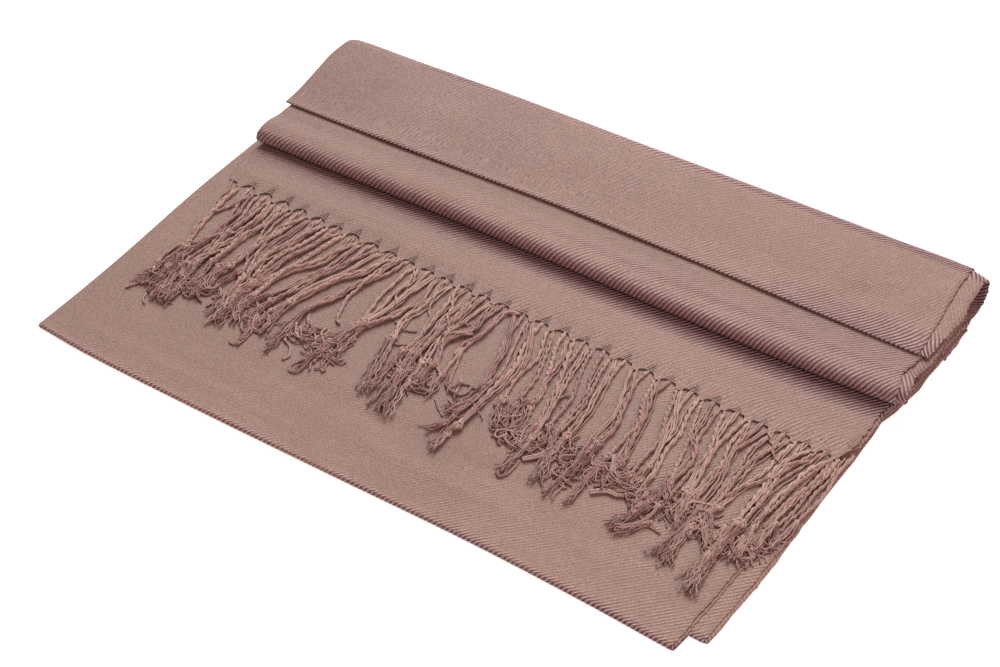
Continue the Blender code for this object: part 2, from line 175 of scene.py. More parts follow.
FOLD_LINES = (
    ("across", "front", "roll", "top", "back"),
    (-0.5, 0.06, 15.64, 18.42, 24.80),
    (0.0, 0.06, 15.66, 18.40, 25.05),
    (3.0, -0.09, 15.81, 18.53, 25.25),
    (9.0, -0.05, 16.08, 18.90, 25.68),
    (16.0, 0.10, 16.31, 19.38, 26.02),
    (24.0, 0.30, 16.46, 19.62, 26.42),
    (30.0, 0.24, 16.61, 19.74, 26.70),
    (34.0, 0.09, 16.82, 19.83, 26.86),
    (35.5, 0.08, 17.05, 19.88, 26.45),
)
EDGE_COLUMNS = ("depth", "left", "upper", "under")
FRONT_EDGES = (
    EDGE_COLUMNS,
    (-0.2, 0.02, 34.10, 34.22),
    (6.0, 0.10, 34.20, 34.34),
    (12.0, 0.00, 34.20, 34.32),
    (21.0, 0.00, 34.10, 34.25),
)
NESTED_EDGES = (
    EDGE_COLUMNS,
    (1.2, 0.45, 35.00, 35.16),
    (5.5, 0.40, 35.08, 35.26),
    (10.5, 0.40, 34.92, 35.08),
    (13.6, 0.40, 34.86, 35.00),
    (16.4, 0.45, 34.72, 34.86),
    (18.5, 0.45, 35.00, 35.15),
    (23.5, 0.40, 35.02, 35.20),
)
FRINGED_EDGES = (
    EDGE_COLUMNS,
    (12.9, 0.78, 34.80, 34.96),
    (15.0, 0.60, 34.82, 34.96),
    (16.4, 0.52, 34.74, 34.88),
    (19.0, 0.45, 34.90, 35.05),
)
MIDDLE_EDGES = (
    EDGE_COLUMNS,
    (15.6, 0.40, 35.08, 35.50),
    (16.6, 0.26, 35.00, 35.46),
    (17.2, 0.22, 34.86, 35.36),
    (17.6, 0.22, 34.72, 35.28),
    (18.1, 0.24, 34.66, 35.18),
    (18.7, 0.27, 34.70, 35.24),
    (19.4, 0.30, 34.78, 35.32),
    (23.0, 0.40, 34.60, 35.10),
)
TOP_EDGES = (
    EDGE_COLUMNS,
    (18.4, 0.08, 34.72, 35.06),
    (20.4, 0.00, 34.60, 35.10),
    (22.4, -0.20, 34.36, 35.20),
    (24.2, -0.42, 34.14, 34.98),
    (26.0, -0.36, 33.96, 34.90),
    (26.8, -0.20, 33.92, 34.86),
)


def curve_through(xs, ys, x):
    """Read a smooth curve through points, at one place or at an array of places."""
    xs, ys = np.asarray(xs, float), np.asarray(ys, float)
    x = np.clip(x, xs[0], xs[-1])
    i = np.clip(np.searchsorted(xs, x, side="right") - 1, 0, len(xs) - 2)
    number = np.arange(len(xs))
    before, after = np.maximum(number - 1, 0), np.minimum(number + 1, len(xs) - 1)
    slopes = (ys[after] - ys[before]) / (xs[after] - xs[before])
    span = xs[i + 1] - xs[i]
    t = (x - xs[i]) / span
    return ((2 * t**3 - 3 * t**2 + 1) * ys[i] + (t**3 - 2 * t**2 + t) * span * slopes[i]
            + (3 * t**2 - 2 * t**3) * ys[i + 1] + (t**3 - t**2) * span * slopes[i + 1])


def from_table(rows, by, name, value):
    """One named column of a table, in metres, read at a value of another column in metres."""
    keys = [row[rows[0].index(by)] for row in rows[1:]]
    column = [row[rows[0].index(name)] for row in rows[1:]]
    return curve_through(keys, column, np.asarray(value) / CM) * CM


def fold_line(name, x):
    """Depth of a fold's foremost edge at places across, in metres."""
    return from_table(FOLD_LINES, "across", name, x)


print("depth of the back fold at its middle, cm:", round(float(fold_line("back", 0.176)) / CM, 2))

# %% [markdown]
# ## How a leaf bends
#
# Seen from the side, a leaf is a line that runs forward, turns round a fold and runs back. The helpers
# below give such a line as straight legs and quarter turns. Every point is an array, with one value
# for each place across the cloth, so one function bends the whole width at once.

# %% Sizes of the stack
LEAF = 1.3 * MM                # a leaf is two sheets lying on each other
GAP = 0.3 * MM
PITCH = LEAF + GAP
BEND = PITCH / 2               # radius of a pressed fold
NOSE = BEND + LEAF / 2
NESTED_Z = PITCH
FRONT_TOP_Z = NESTED_Z + 2 * PITCH
FRINGED_Z = FRONT_TOP_Z + PITCH
ROLL_Z = FRINGED_Z + PITCH
ROLL_TOP = ROLL_Z + 6.6 * MM
TOP_Z = ROLL_TOP + GAP
NESTED_SET_BACK = 1.05 * CM
ROLL_SET_BACK = 0.4 * MM
ROLL_BROW = 9.3 * MM           # depth over which the middle fold's top rounds down
BROW_POWER = 0.86              # below 1 makes the brow squarer than an ellipse
ROLL_CHIN = 4.0 * MM           # depth over which it turns back underneath
ROLL_SAG = 0.52 * MM
TOP_CROWN = 0.8 * MM
FRONT_PRESS = 0.63             # share of the height that is pressed away at the front fold
FRONT_PRESS_DEPTH = 125 * MM
TOP_PRESS = 0.60               # and at the top leaf's edge
TOP_PRESS_DEPTH = 58 * MM
FRONT_UPPER_END, FRONT_LOWER_END = 0.190, 0.217    # depths at which leaves end, out of sight
NESTED_END = 0.239
MIDDLE_UPPER_END, MIDDLE_LOWER_END = 0.238, 0.191
TOP_LOWER_END, TOP_TUCK_END = 0.2173, 0.234
FRINGED_UPPER_END = 0.189
ROOT_LINE = 12.95 * CM         # depth of the fringed end at the left
ROOT_SLANT = 0.25 * CM
CLOTH_WIDTH = 35.2 * CM
EDGE_ZONE = 9 * MM             # how far behind its edge the fringe pulls at the cloth
ACROSS = np.linspace(-0.01, 0.366, 189)   # places across at which the paths are worked out


# %% Paths of the leaves
def ease(t):
    """Go from 0 to 1 with a level start and end."""
    t = np.clip(t, 0.0, 1.0)
    return t * t * (3 - 2 * t)


def ramp(value, start, length):
    """Go smoothly from 0 at a start to 1 a length further on."""
    return ease((value - start) / length)


def bell(value, middle, half_width):
    """A smooth hump, 1 at its middle."""
    return np.exp(-((value - middle) / half_width) ** 2)


def level_leg(start, end, z, count):
    """Points of a level leg, without its last."""
    return [(start + (end - start) * i / count, z + 0 * ACROSS) for i in range(count)]


def end_point(y, z):
    """The last point of a path."""
    return [(y, z + 0 * ACROSS)]


def quarter_turn(y, z, reach, rise, start, count):
    """Points of a quarter ellipse about (y, z), from an angle in degrees, without its last."""
    angles = [math.radians(start + 90 * i / count) for i in range(count)]
    return [(y + reach * math.cos(a), z + rise * math.sin(a)) for a in angles]


def half_turn(y, z, reach, rise, start, count):
    """Two quarter turns, one after the other."""
    return (quarter_turn(y, z, reach, rise, start, count)
            + quarter_turn(y, z, reach, rise, start + 90, count))


def press_at(y):
    """How much of its height the stack keeps near the front fold, where it was pressed flattest."""
    return 1 - FRONT_PRESS * ease(1 - (np.asarray(y) - 4 * MM) / FRONT_PRESS_DEPTH)


def pressed(line):
    """A path with its heights lowered where the stack was pressed."""
    return [(y, z * press_at(y)) for y, z in line]


def pressed_leaf(x, y):
    """What share of its thickness a leaf of the front stack keeps."""
    return press_at(y)


def top_press(x, y):
    """The top fold is pressed thinnest at its very edge: the share of its thickness left there."""
    return 1 - TOP_PRESS * ease(1 - (y - fold_line("top", x)) / TOP_PRESS_DEPTH)


def front_path():
    """The front panel from its hidden end forward, round the front fold, and back on the table."""
    fold = fold_line("front", ACROSS) + NOSE
    low, high = LEAF / 2, FRONT_TOP_Z + LEAF / 2
    middle, rise = (low + high) / 2 + 0 * ACROSS, (high - low) / 2
    line = level_leg(FRONT_UPPER_END, fold, high, 96) + half_turn(fold, middle, BEND, rise, 90, 8)
    return pressed(line + level_leg(fold, FRONT_LOWER_END, low, 24) + end_point(FRONT_LOWER_END, low))


def nested_path():
    """The nested fold: both its leaves lie between those of the front fold."""
    fold = fold_line("front", ACROSS) + NESTED_SET_BACK + NOSE
    middle = NESTED_Z + NOSE
    line = level_leg(NESTED_END, fold, middle + BEND, 56) + half_turn(fold, middle, BEND, BEND, 90, 5)
    return pressed(line + level_leg(fold, NESTED_END, middle - BEND, 24)
                   + end_point(NESTED_END, middle - BEND))


def middle_path():
    """The puffed middle fold: forward, round its high brow, and back underneath."""
    edge = fold_line("roll", ACROSS) + LEAF / 2 + ROLL_SET_BACK
    brow = edge + ROLL_BROW
    low = ROLL_Z + LEAF / 2
    high = ROLL_TOP - LEAF / 2
    turn_z = low + 0.45 * (high - low)
    swell = (0.95 + 0.30 * ramp(ACROSS, 0, 16 * CM)) * MM     # more towards the middle
    line = []
    for i in range(31):
        y = MIDDLE_UPPER_END + (brow - MIDDLE_UPPER_END) * i / 30
        bare = fold_line("top", ACROSS) - y
        sag = ROLL_SAG * bell(bare, 9 * MM, 4.2 * MM)
        line.append((y, high + swell * ramp(bare, 3 * MM, 17 * MM) - sag * (bare > 0)))
    peak = line.pop()[1]
    for i in range(16):
        angle = math.radians(90 * i / 16)
        line.append((brow - ROLL_BROW * math.sin(angle) ** BROW_POWER,
                     turn_z + (peak - turn_z) * math.cos(angle) ** BROW_POWER))
    chin = edge + ROLL_CHIN
    line += quarter_turn(chin, turn_z, ROLL_CHIN, turn_z - low, 180, 10)
    return line + level_leg(chin, MIDDLE_LOWER_END, low, 12) + end_point(MIDDLE_LOWER_END, low)


def top_path():
    """The top leaf: up round the back of the stack, forward over it, and a thin front fold."""
    low = LEAF / 2
    high = TOP_Z + NOSE + BEND
    half = (high - low) / 2
    rear = fold_line("back", ACROSS) - LEAF / 2 - half
    fold = fold_line("top", ACROSS) + NOSE
    line = level_leg(TOP_LOWER_END, rear, low, 14) + half_turn(rear, low + half, half, half, 270, 12)
    for i in range(30):
        line.append((rear + (fold - rear) * i / 30, high + TOP_CROWN * math.sin(math.pi * i / 30) ** 2))
    line += half_turn(fold, TOP_Z + NOSE, BEND, BEND, 90, 5)
    line += level_leg(fold, TOP_TUCK_END, TOP_Z + LEAF / 2, 12) + end_point(TOP_TUCK_END, TOP_Z + LEAF / 2)
    kept = [np.where(z > TOP_Z, top_press(ACROSS, y), 1) for y, z in line]
    return [(y, TOP_Z + (z - TOP_Z) * share) for (y, z), share in zip(line, kept)]


def root_line(x):
    """Depth of the fringed end at a place across."""
    return ROOT_LINE + ROOT_SLANT * x / CLOTH_WIDTH


def fringed_path():
    """The fringed end: level, and finely divided near its edge, where the fringe pulls at it."""
    middle, edge = FRINGED_Z + LEAF / 2, root_line(ACROSS)
    return (level_leg(FRINGED_UPPER_END, edge + EDGE_ZONE, middle, 12)
            + level_leg(edge + EDGE_ZONE, edge, middle, 22) + end_point(edge, middle))


print("points along the top leaf:", len(top_path()))

# %% [markdown]
# ## From a path to two sheets of cloth
#
# A leaf could be one thick slab, but its right edge shows that it is double: two selvedges, one a
# little behind the other. So a chain of places runs from the upper selvedge to the left fold, round
# it, and back to the under selvedge, and every place gets an outer and an inner point, half a
# millimetre apart. One closed mesh then holds both sheets with air between them.
#
# Each point also keeps its place in the cloth as it lay on the loom: how far from the lengthwise fold,
# and how far along the shawl. The twill pattern is drawn with these two numbers later, so its lines
# run on round each fold, and slant the other way on the face that is turned in.

# %% Make a leaf
SHEET = 0.5 * MM               # thickness of one sheet
HALF_SLIT = 0.15 * MM          # half the air between the two sheets
SELVEDGE_ROUND = 0.18 * MM
SELVEDGE_WANDER = 0.50 * MM
BEAD_SIZE = 0.32 * MM          # the selvedge is beaded where the weft turns back
BEAD_PITCH = 3.2 * MM
LIFT_ZONE = 6 * MM             # how far from its selvedge an upper sheet is lifted
FAR = 9.0                      # added to a distance to make it larger than any other


def ripple(a, b, seed):
    """A smooth uneven field between about -1 and 1, from a few crossing waves."""
    draws = np.random.default_rng(seed)
    total = 0 * a
    for _ in range(7):
        kx, ky = draws.normal(0, 1, 2)
        total = total + np.sin(a * kx + b * ky + draws.uniform(0, 6.28)) / 7
    return total * 1.6


def shell_mesh(name, outer, inner, loom, look):
    """A closed mesh from two grids of points, joined along all four sides."""
    rows, count = outer.shape[:2]
    grid = np.arange(rows * count).reshape(rows, count)

    def quads(*corners):
        """Faces from four arrays of their corners' numbers."""
        return np.stack([corner.ravel() for corner in corners], axis=1)

    def on_points(values):
        """A grid's values for both sides, and then for the two selvedge lines."""
        return np.concatenate([values.reshape(-1, 3)] * 2 + [values[:, 0], values[:, -1]])

    top = quads(grid[:-1, :-1], grid[:-1, 1:], grid[1:, 1:], grid[1:, :-1])
    bottom = top[:, ::-1] + rows * count
    rims, extra = [], []
    base = 2 * rows * count
    for side, k in ((0, 0), (1, count - 1)):
        middle = (outer[:, k] + inner[:, k]) / 2
        inward = outer[:, 1 if k == 0 else count - 2] - outer[:, k]
        inward = inward / np.linalg.norm(inward, axis=1)[:, None]
        extra.append(middle - inward * SELVEDGE_ROUND)
        mid = base + side * rows + np.arange(rows)
        o, n = grid[:, k], grid[:, k] + rows * count
        for first, second in ((o, mid), (mid, n)):
            strip = quads(first[:-1], second[:-1], second[1:], first[1:])
            rims.append(strip if k else strip[:, ::-1])
    for j in (0, rows - 1):
        o, n = grid[j], grid[j] + rows * count
        strip = quads(o[:-1], o[1:], n[1:], n[:-1])
        rims.append(strip[:, ::-1] if j == 0 else strip)
    points = np.concatenate([outer.reshape(-1, 3), inner.reshape(-1, 3)] + extra)
    return mesh_piece(name, points, np.concatenate([top, bottom] + rims),
                      {"loom": on_points(loom), "look": on_points(look)})


def mesh_piece(name, points, quads, attributes):
    """A smooth-shaded object from arrays of points and quads, with named values on its points."""
    mesh = bpy.data.meshes.new(name)
    mesh.vertices.add(len(points))
    mesh.vertices.foreach_set("co", np.ascontiguousarray(points, np.float32).ravel())
    mesh.loops.add(4 * len(quads))
    mesh.loops.foreach_set("vertex_index", np.ascontiguousarray(quads, np.int32).ravel())
    mesh.polygons.add(len(quads))
    mesh.polygons.foreach_set("loop_start", np.arange(0, 4 * len(quads), 4, dtype=np.int32))
    mesh.update(calc_edges=True)
    mesh.validate()
    mesh.shade_smooth()
    for key, values in attributes.items():
        layer = mesh.attributes.new(key, "FLOAT_VECTOR", "POINT")
        layer.data.foreach_set("vector", np.ascontiguousarray(values, np.float32).ravel())
    piece = bpy.data.objects.new(name, mesh)
    bpy.context.scene.collection.objects.link(piece)
    print(f"{name}: {len(mesh.loops) - 2 * len(mesh.polygons)} triangles")
    return piece


def line_at(values, x):
    """Values of a path's points at places across, row by row."""
    return np.array([np.interp(x[j], ACROSS, values[j]) for j in range(len(values))])


def plain_look(x, y, along, chain):
    """Three looks: rib clearness, depth behind the fringe, and a loose weave that also carries painted
    shade.
    """
    return 0.34 + 0.44 * ramp(x, 0, 30 * CM), 0 * x, 0 * x


def square_weave(x, y, along, chain):
    """Place along the shawl on the loom; a leaf that was pulled out of square has its own."""
    return along + 0 * x


def full_thickness(x, y):
    """A leaf that wasn't pressed keeps all its thickness."""
    return 1 + 0 * x


def leaf_points(path, edges, stations, seed, uneven=None, upper_lift=0.0, look=plain_look,
                weave=square_weave, thickness=full_thickness):
    """The outer and inner grids of a doubled leaf on a path, its places on the loom and its looks."""
    line_y = np.array([y + 0 * ACROSS for y, z in path])
    line_z = np.array([z + 0 * ACROSS for y, z in path])
    middle = len(ACROSS) // 2
    depth = line_y[:, middle]
    steps = np.hypot(np.diff(depth), np.diff(line_z[:, middle]))
    along = np.concatenate([[0], np.cumsum(steps)])

    left = from_table(edges, "depth", "left", depth)
    ends = []
    for side, name in enumerate(("upper", "under")):
        wander = SELVEDGE_WANDER * ripple(along * 520, along * 0 + side * 3, seed)
        beads = BEAD_SIZE * np.sin(along / BEAD_PITCH * 2 * math.pi + side)
        beads = beads * (0.6 + 0.4 * np.sin(along * 700))
        ends.append(from_table(edges, "depth", name, depth) + wander + beads)
    upper, under = ends

    radius = LEAF / 2
    first = left + radius
    share = np.linspace(1, 0, stations)
    nose_turn = np.radians([112.5, 135, 157.5, 180, 202.5, 225, 247.5])

    def one_side(reach, level):
        """Places across, from the upper selvedge round the fold to the under one, and their heights."""
        places = np.concatenate([
            first[:, None] + (upper - first)[:, None] * share,
            first[:, None] + reach * np.cos(nose_turn),
            first[:, None] + (under - first)[:, None] * share[::-1]], axis=1)
        return places, np.concatenate([level + 0 * share, level * np.sin(nose_turn), -level + 0 * share])

    sides = (one_side(radius, radius), one_side(radius - SHEET, HALF_SLIT))
    chain = np.concatenate([
        (upper - left)[:, None] * share,
        0 * left[:, None] * nose_turn,
        -(under - left)[:, None] * share[::-1]], axis=1)

    grids = []
    for x, offset in sides:
        y, z = line_at(line_y, x), line_at(line_z, x)
        dy = np.gradient(y, axis=0)
        dz = np.gradient(z, axis=0)
        size = np.hypot(dy, dz)
        normal_y, normal_z = dz / size, -dy / size
        offset = offset[None, :] * thickness(x, y)
        if upper_lift:
            near = ease(1 - (upper[:, None] - x) / LIFT_ZONE) * (chain > 0)
            wave = 0.6 + 0.4 * ripple(along[:, None] * 260 + 0 * x, 0 * x, seed + 5)
            offset = offset + upper_lift * near * wave * ease(normal_z)
        y, z = y + normal_y * offset, z + normal_z * offset
        if uneven is not None:
            forward, rise = uneven(x, y, along[:, None] + 0 * x, chain)
            y, z = y + forward, z + rise
        grids.append(np.stack([x, y, z], axis=2) + SHIFT)

    x = sides[0][0]
    selvedge = np.minimum(abs(x - upper[:, None]) + FAR * (chain < 0),
                          abs(x - under[:, None]) + FAR * (chain >= 0))
    spot = (x, line_at(line_y, x), along[:, None] + 0 * chain, chain)
    loom = np.stack([chain, weave(*spot), selvedge], axis=2)
    # 1 where the path bends tighter than a radius of 7.5 mm, fading out over 3 mm to either side
    heading = np.unwrap(np.arctan2(np.gradient(line_z[:, middle]), np.gradient(depth)))
    bent = np.clip(abs(np.gradient(heading, along)) * 7.5 * MM, 0, 1)
    apart = abs(along[:, None] - along[None, :])
    bent = (bent[None, :] * np.clip(1.0 - apart / (3 * MM), 0, 1)).max(axis=1)
    clear, behind, loose = look(*spot)
    # clearer ribs on the bends, which the twill draws with painted shade in the grooves and a painted
    # sheen
    looks = (clear + (0.95 - 0.12 * ramp(x, 0, 30 * CM)) * bent[:, None], behind, loose)
    return grids[0], grids[1], loom, np.stack(np.broadcast_arrays(*looks), axis=2)


def leaf_piece(name, path, edges, stations, seed, **ways):
    """A doubled leaf as one closed thin-walled mesh."""
    return shell_mesh(name, *leaf_points(path, edges, stations, seed, **ways))


# %% [markdown]
# ## Twill that is drawn by numbers
#
# The cloth is a 2/2 twill: every yarn passes over two and under two, one step further on in each row,
# so the floats line up in slanting ribs. An image texture could show that, but it would stretch at the
# folds and blur up close. Instead a sine of the two loom numbers gives the ribs, and a finer one the
# single yarns. The ribs raise the surface with a bump node and are a little lighter than the grooves.
# Noise that is stretched along the yarns adds the faint bands of a real warp and weft.

# %% Node helpers
def calc(operation, *values, **settings):
    """A Math node's result, in the tree that its first socket belongs to."""
    tree = next(value.id_data for value in values if isinstance(value, bpy.types.NodeSocket))
    return wire(tree, "ShaderNodeMath", enumerate(values), operation=operation, **settings).outputs[0]


def times(a, b):
    """A product."""
    return calc("MULTIPLY", a, b)


def minus(a, b):
    """A difference."""
    return calc("SUBTRACT", a, b)


def scaled(value, factor, plus):
    """A value times one number plus another."""
    return calc("MULTIPLY_ADD", value, factor, plus)


def clamped(value, factor, plus):
    """The same, kept between 0 and 1."""
    return calc("MULTIPLY_ADD", value, factor, plus, use_clamp=True)


def waves(value, pitch):
    """A sine that repeats at every pitch."""
    return calc("SINE", times(value, 2 * math.pi / pitch))


def noise(place, scale, detail=2.0, stretch=(1, 1, 1)):
    """Noise between 0 and 1 at a place, finer or coarser along each direction."""
    tree = place.id_data
    place = wire(tree, "ShaderNodeVectorMath", {0: place, 1: stretch}, operation="MULTIPLY").outputs[0]
    return wire(tree, "ShaderNodeTexNoise", {"Vector": place, "Scale": scale, "Detail": detail}).outputs[0]


def mixed(share, low, high):
    """A colour between two colours."""
    inputs = {"Factor": share, 6: (*low, 1), 7: (*high, 1)}
    return wire(share.id_data, "ShaderNodeMix", inputs, data_type="RGBA").outputs[2]


# %% The twill
RIB_PITCH = 1.66 * MM
RIB_SLANT = math.radians(42)      # between the ribs and the weft
RIB_WANDER = 2.6 * MM
RIB_HEIGHT = 0.30 * MM
YARN_PITCH = 0.62 * MM
PULLED_PITCH = 1.15 * MM
GRAIN_SCALE = 2300.0              # size of the fluff, as noise cells to the metre
# how much darker a loose weave is drawn: its real gaps over the notches, and painted shade where the looks
# carry it
GAP_AND_SHADE_DARKENING = 0.90
# painted shade: how much darker the grooves are drawn where the ribs stand clearest, on the bends and
# before the roll
PAINTED_FURROW_SHADE = 0.55
PAINTED_SHEEN_AND_SHADE_TINT = (1.0, 0.95, 1.13)    # painted sheen on the bends, painted shade before the roll


def twill_material(name, ridge, groove):
    """Satin-faced twill: ribs, yarns, weaving streaks and a soft sheen."""
    paint, tree, shader = new_material(name)
    loom = wire(tree, "ShaderNodeAttribute", attribute_name="loom").outputs["Vector"]
    look = wire(tree, "ShaderNodeAttribute", attribute_name="look").outputs["Vector"]
    across, along, _ = wire(tree, "ShaderNodeSeparateXYZ", {0: loom}).outputs
    clearness, behind, pulled = wire(tree, "ShaderNodeSeparateXYZ", {0: look}).outputs
    cos, sin = math.cos(RIB_SLANT), math.sin(RIB_SLANT)
    slant = calc("ADD", times(across, cos), times(along, sin))
    slant = scaled(noise(loom, 22.0, 1.0), RIB_WANDER, slant)
    run = minus(times(along, cos), times(across, sin))
    rib = calc("POWER", scaled(waves(slant, RIB_PITCH), 0.5, 0.5), 0.7)
    crossing = times(waves(along, YARN_PITCH), waves(across, YARN_PITCH))

    rib_place = wire(tree, "ShaderNodeCombineXYZ", {0: slant, 1: run}).outputs[0]
    patch = clamped(noise(rib_place, 330.0, 2.0, (1, 0.3, 1)), 3.0, -1.0)
    broken = times(scaled(noise(loom, 30.0), 1.3, 0.1), scaled(patch, 0.95, 0.25))
    firm = clamped(clearness, 2.5, -2.2)
    clear = times(clearness, scaled(firm, minus(1.0, broken), broken))
    fluff = scaled(noise(loom, GRAIN_SCALE, 2.0, (0.45, 1, 1)), 0.5,
                   times(noise(loom, GRAIN_SCALE, 2.0, (1, 0.45, 1)), 0.5))
    # loose weave: real gaps over the notches, and painted shade before the roll, on the left and on the
    # roll's top
    loose = times(clamped(waves(behind, PULLED_PITCH), 2.2, 0.2), pulled)
    height = times(rib, clear)
    for relief, depth in ((crossing, 0.08), (fluff, 0.36), (loose, -1.4)):
        height = scaled(relief, depth, height)
    bump = wire(tree, "ShaderNodeBump", {"Height": height, "Distance": RIB_HEIGHT, "Strength": 1.0})

    weft_bands, warp_bands = noise(loom, 60.0, 3.0, (0.12, 14, 1)), noise(loom, 60.0, 2.0, (14, 0.12, 1))
    tone = scaled(warp_bands, 0.08, scaled(weft_bands, 0.16, 0.80))
    tone = scaled(noise(loom, 14.0, 2.0), 0.12, tone)
    tone = scaled(fluff, 3.30, minus(tone, 1.60))
    # painted shade: where the ribs stand clearest, the grooves are drawn darker
    furrow_shade = times(clamped(clearness, 1.0, -0.9), minus(1.0, rib))
    # painted light: the cloth is drawn lighter where its ribs are clearer, up to a cap, so it is darker to
    # the left and lighter to the right
    lighter = calc("MINIMUM", scaled(clearness, 0.20, 0.84), 1.0)
    for factor in (scaled(loose, -GAP_AND_SHADE_DARKENING, 1.0), lighter, scaled(furrow_shade, -PAINTED_FURROW_SHADE, 1.0)):
        tone = times(tone, factor)
    colour = mixed(scaled(minus(rib, 0.6), clear, 0.6), groove, ridge)
    tint = mixed(clamped(clearness, 1.2, -1.0), (1, 1, 1), PAINTED_SHEEN_AND_SHADE_TINT)
    colour = wire(tree, "ShaderNodeVectorMath", {0: colour, 1: tint}, operation="MULTIPLY").outputs[0]
    toned = wire(tree, "ShaderNodeVectorMath", {0: colour, "Scale": tone}, operation="SCALE").outputs[0]
    smooth = scaled(times(rib, clear), -0.22, 0.60)
    feed(tree, shader, {
        "Normal": bump.outputs[0], "Base Color": toned, "Roughness": smooth,
        "Specular IOR Level": 0.20, "Specular Tint": (1.0, 0.78, 0.84, 1),
        "Sheen Weight": 0.04, "Sheen Roughness": 0.45, "Sheen Tint": (0.95, 0.80, 0.80, 1)})
    return paint


twill_paint = twill_material("mauve_twill", (0.286, 0.223, 0.177), (0.147, 0.086, 0.0655))
print("twill nodes:", len(twill_paint.node_tree.nodes))

# %% [markdown]
# ## The leaves
#
# Pressed cloth is never quite level. It keeps the lines it was once pressed along, and sags a little
# between them. Noise alone would look the same everywhere, so these ridges and troughs are listed:
# each row is a leaf, a line on it, half a width and a height.

# %% Creases
CREASES = (   # leaf, from and to in cm, half width and height in mm
    ("front", 0.3, 1.25, 16.0, 1.40, 1.5, 0.22),
    ("front", 2.0, 2.05, 13.0, 1.95, 2.0, -0.20),
    ("front", 14.0, 2.40, 31.0, 2.55, 4.0, 0.30),
    ("front", 5.0, 3.50, 26.0, 4.10, 5.0, -0.28),
    ("front", 3.2, 4.80, 6.0, 2.20, 3.5, -0.30),
    ("front", 9.0, 5.00, 12.0, 2.60, 4.0, 0.22),
    ("front", 31.5, 1.00, 33.2, 4.00, 4.0, 0.25),
    ("top", 28.5, 19.80, 31.5, 22.60, 6.0, -0.60),
    ("top", 32.0, 20.60, 34.0, 25.00, 5.0, 0.45),
    ("top", 2.0, 21.00, 9.0, 24.00, 7.0, -0.35),
    ("top", 12.0, 20.50, 17.0, 24.50, 9.0, 0.35),
    ("middle", 22.0, 17.20, 27.0, 17.60, 5.0, -0.30),
    ("middle", 9.0, 17.00, 13.0, 17.40, 5.0, 0.25),
)


def crease_height(leaf, x, y):
    """Height of the soft ridges and troughs of one leaf at places on it."""
    total = 0 * x
    for name, x0, y0, x1, y1, half_width, height in CREASES:
        if name == leaf:
            start, way = np.array([x0, y0]) * CM, np.array([x1 - x0, y1 - y0]) * CM
            share = ((x - start[0]) * way[0] + (y - start[1]) * way[1]) / (way @ way)
            off = ((x - start[0]) * way[1] - (y - start[1]) * way[0]) / math.hypot(*way)
            ends = ease(share * 5) * ease((1 - share) * 5)
            total = total + height * MM * ends * bell(off, 0, half_width * MM)
    return total


print(len(CREASES), "creases, the deepest", min(row[-1] for row in CREASES), "mm")

# %% [markdown]
# ## Cutting and laying the leaves
#
# Now each leaf gets its path, its side edges, its unevenness, its place on the loom and its looks. A
# leaf that was pulled while it was folded has wefts that lie wider apart or closer, which turns its
# ribs. Towards the lengthwise fold the upper leaves are drawn a little darker, as painted shade.

# %% The leaves without a fringe
def painted_left_shade(x):
    """Painted shade: how much darker the upper leaves are drawn towards the lengthwise fold."""
    return 1 - ramp(x, 2 * CM, 16 * CM)


def top_uneven(x, y, along, chain):
    """Creases and small swells, only where the leaf lies on top."""
    on_top = ease((y - fold_line("top", x)) / CM) * (along > 0.06)
    return 0, on_top * (crease_height("top", x, y) + 0.12 * MM * ripple(x / 0.05, y / 0.04, 8))


def middle_uneven(x, y, along, chain):
    """Creases and swells on top of the roll, and an edge that isn't quite straight."""
    on_top = (along < 0.075) * ease((y - fold_line("roll", x)) / (8 * MM))
    swell = 0.28 * MM * ripple(x / 0.035, y / 0.03, 3)
    return 0.25 * MM * ripple(x / 0.03, 0 * y, 6), on_top * (crease_height("middle", x, y) + swell)


def front_uneven(x, y, along, chain):
    """Creases and small swells on the front panel."""
    on_top = ease((y - 0.004) / 0.01) * (chain > 0) * (along < 0.20)
    return 0, on_top * (crease_height("front", x, y) + 0.16 * MM * ripple(x / 0.05, y / 0.03, 4))


def front_look(x, y, along, chain):
    """Ribs that grow clearer to the right, in patches."""
    rising = 0.22 + 0.52 * ramp(x, 9 * CM, 25 * CM) - 0.12 * bell(x, 20 * CM, 6 * CM)
    patches = (0.10 + 0.20 * ramp(x, 10 * CM, 8 * CM)) * ripple(x / 0.012, y / 0.008, 17)
    return rising + patches, 0 * x, 0 * x


def middle_look(x, y, along, chain):
    """Clearer ribs on the upper brow and towards the selvedges; painted shade on the left and behind the
    brow.
    """
    from_edge = y - fold_line("roll", x)
    brow = bell(from_edge, 15 * MM, 5 * MM) * (along < 0.08)
    # painted shade: darker to the left, and on the top behind the brow
    painted_shade = np.maximum(0.60 * painted_left_shade(x), 0.55 * ramp(from_edge, 15 * MM, 5 * MM))
    under_top = ramp(from_edge, 21 * MM, 8 * MM) * ramp(x, 20 * CM, 12 * CM) * (along < 0.08)
    return 0.34 + 0.34 * ramp(x, 0, 30 * CM) + 0.40 * brow + 0.26 * under_top, 0 * x, painted_shade


def middle_weave(x, y, along, chain):
    """Round the brow the wefts are pushed together, which stands the ribs up."""
    start = MIDDLE_UPPER_END - fold_line("roll", x) - 11 * MM
    return along - 0.28 * np.clip(along - start, 0, 15 * MM)


def top_weave(x, y, along, chain):
    """The top leaf was pulled along: its wefts lie wider apart to the left and to the back."""
    from_fold = np.clip(y - fold_line("top", x), 0, 1)
    closeness = 0.47 + 0.55 * ramp(x, 14 * CM, 14 * CM) - 0.30 * ramp(x, 30 * CM, 5 * CM)
    return along - (1 - closeness) * -ramp(from_fold, 0, 1.5 * CM) * from_fold


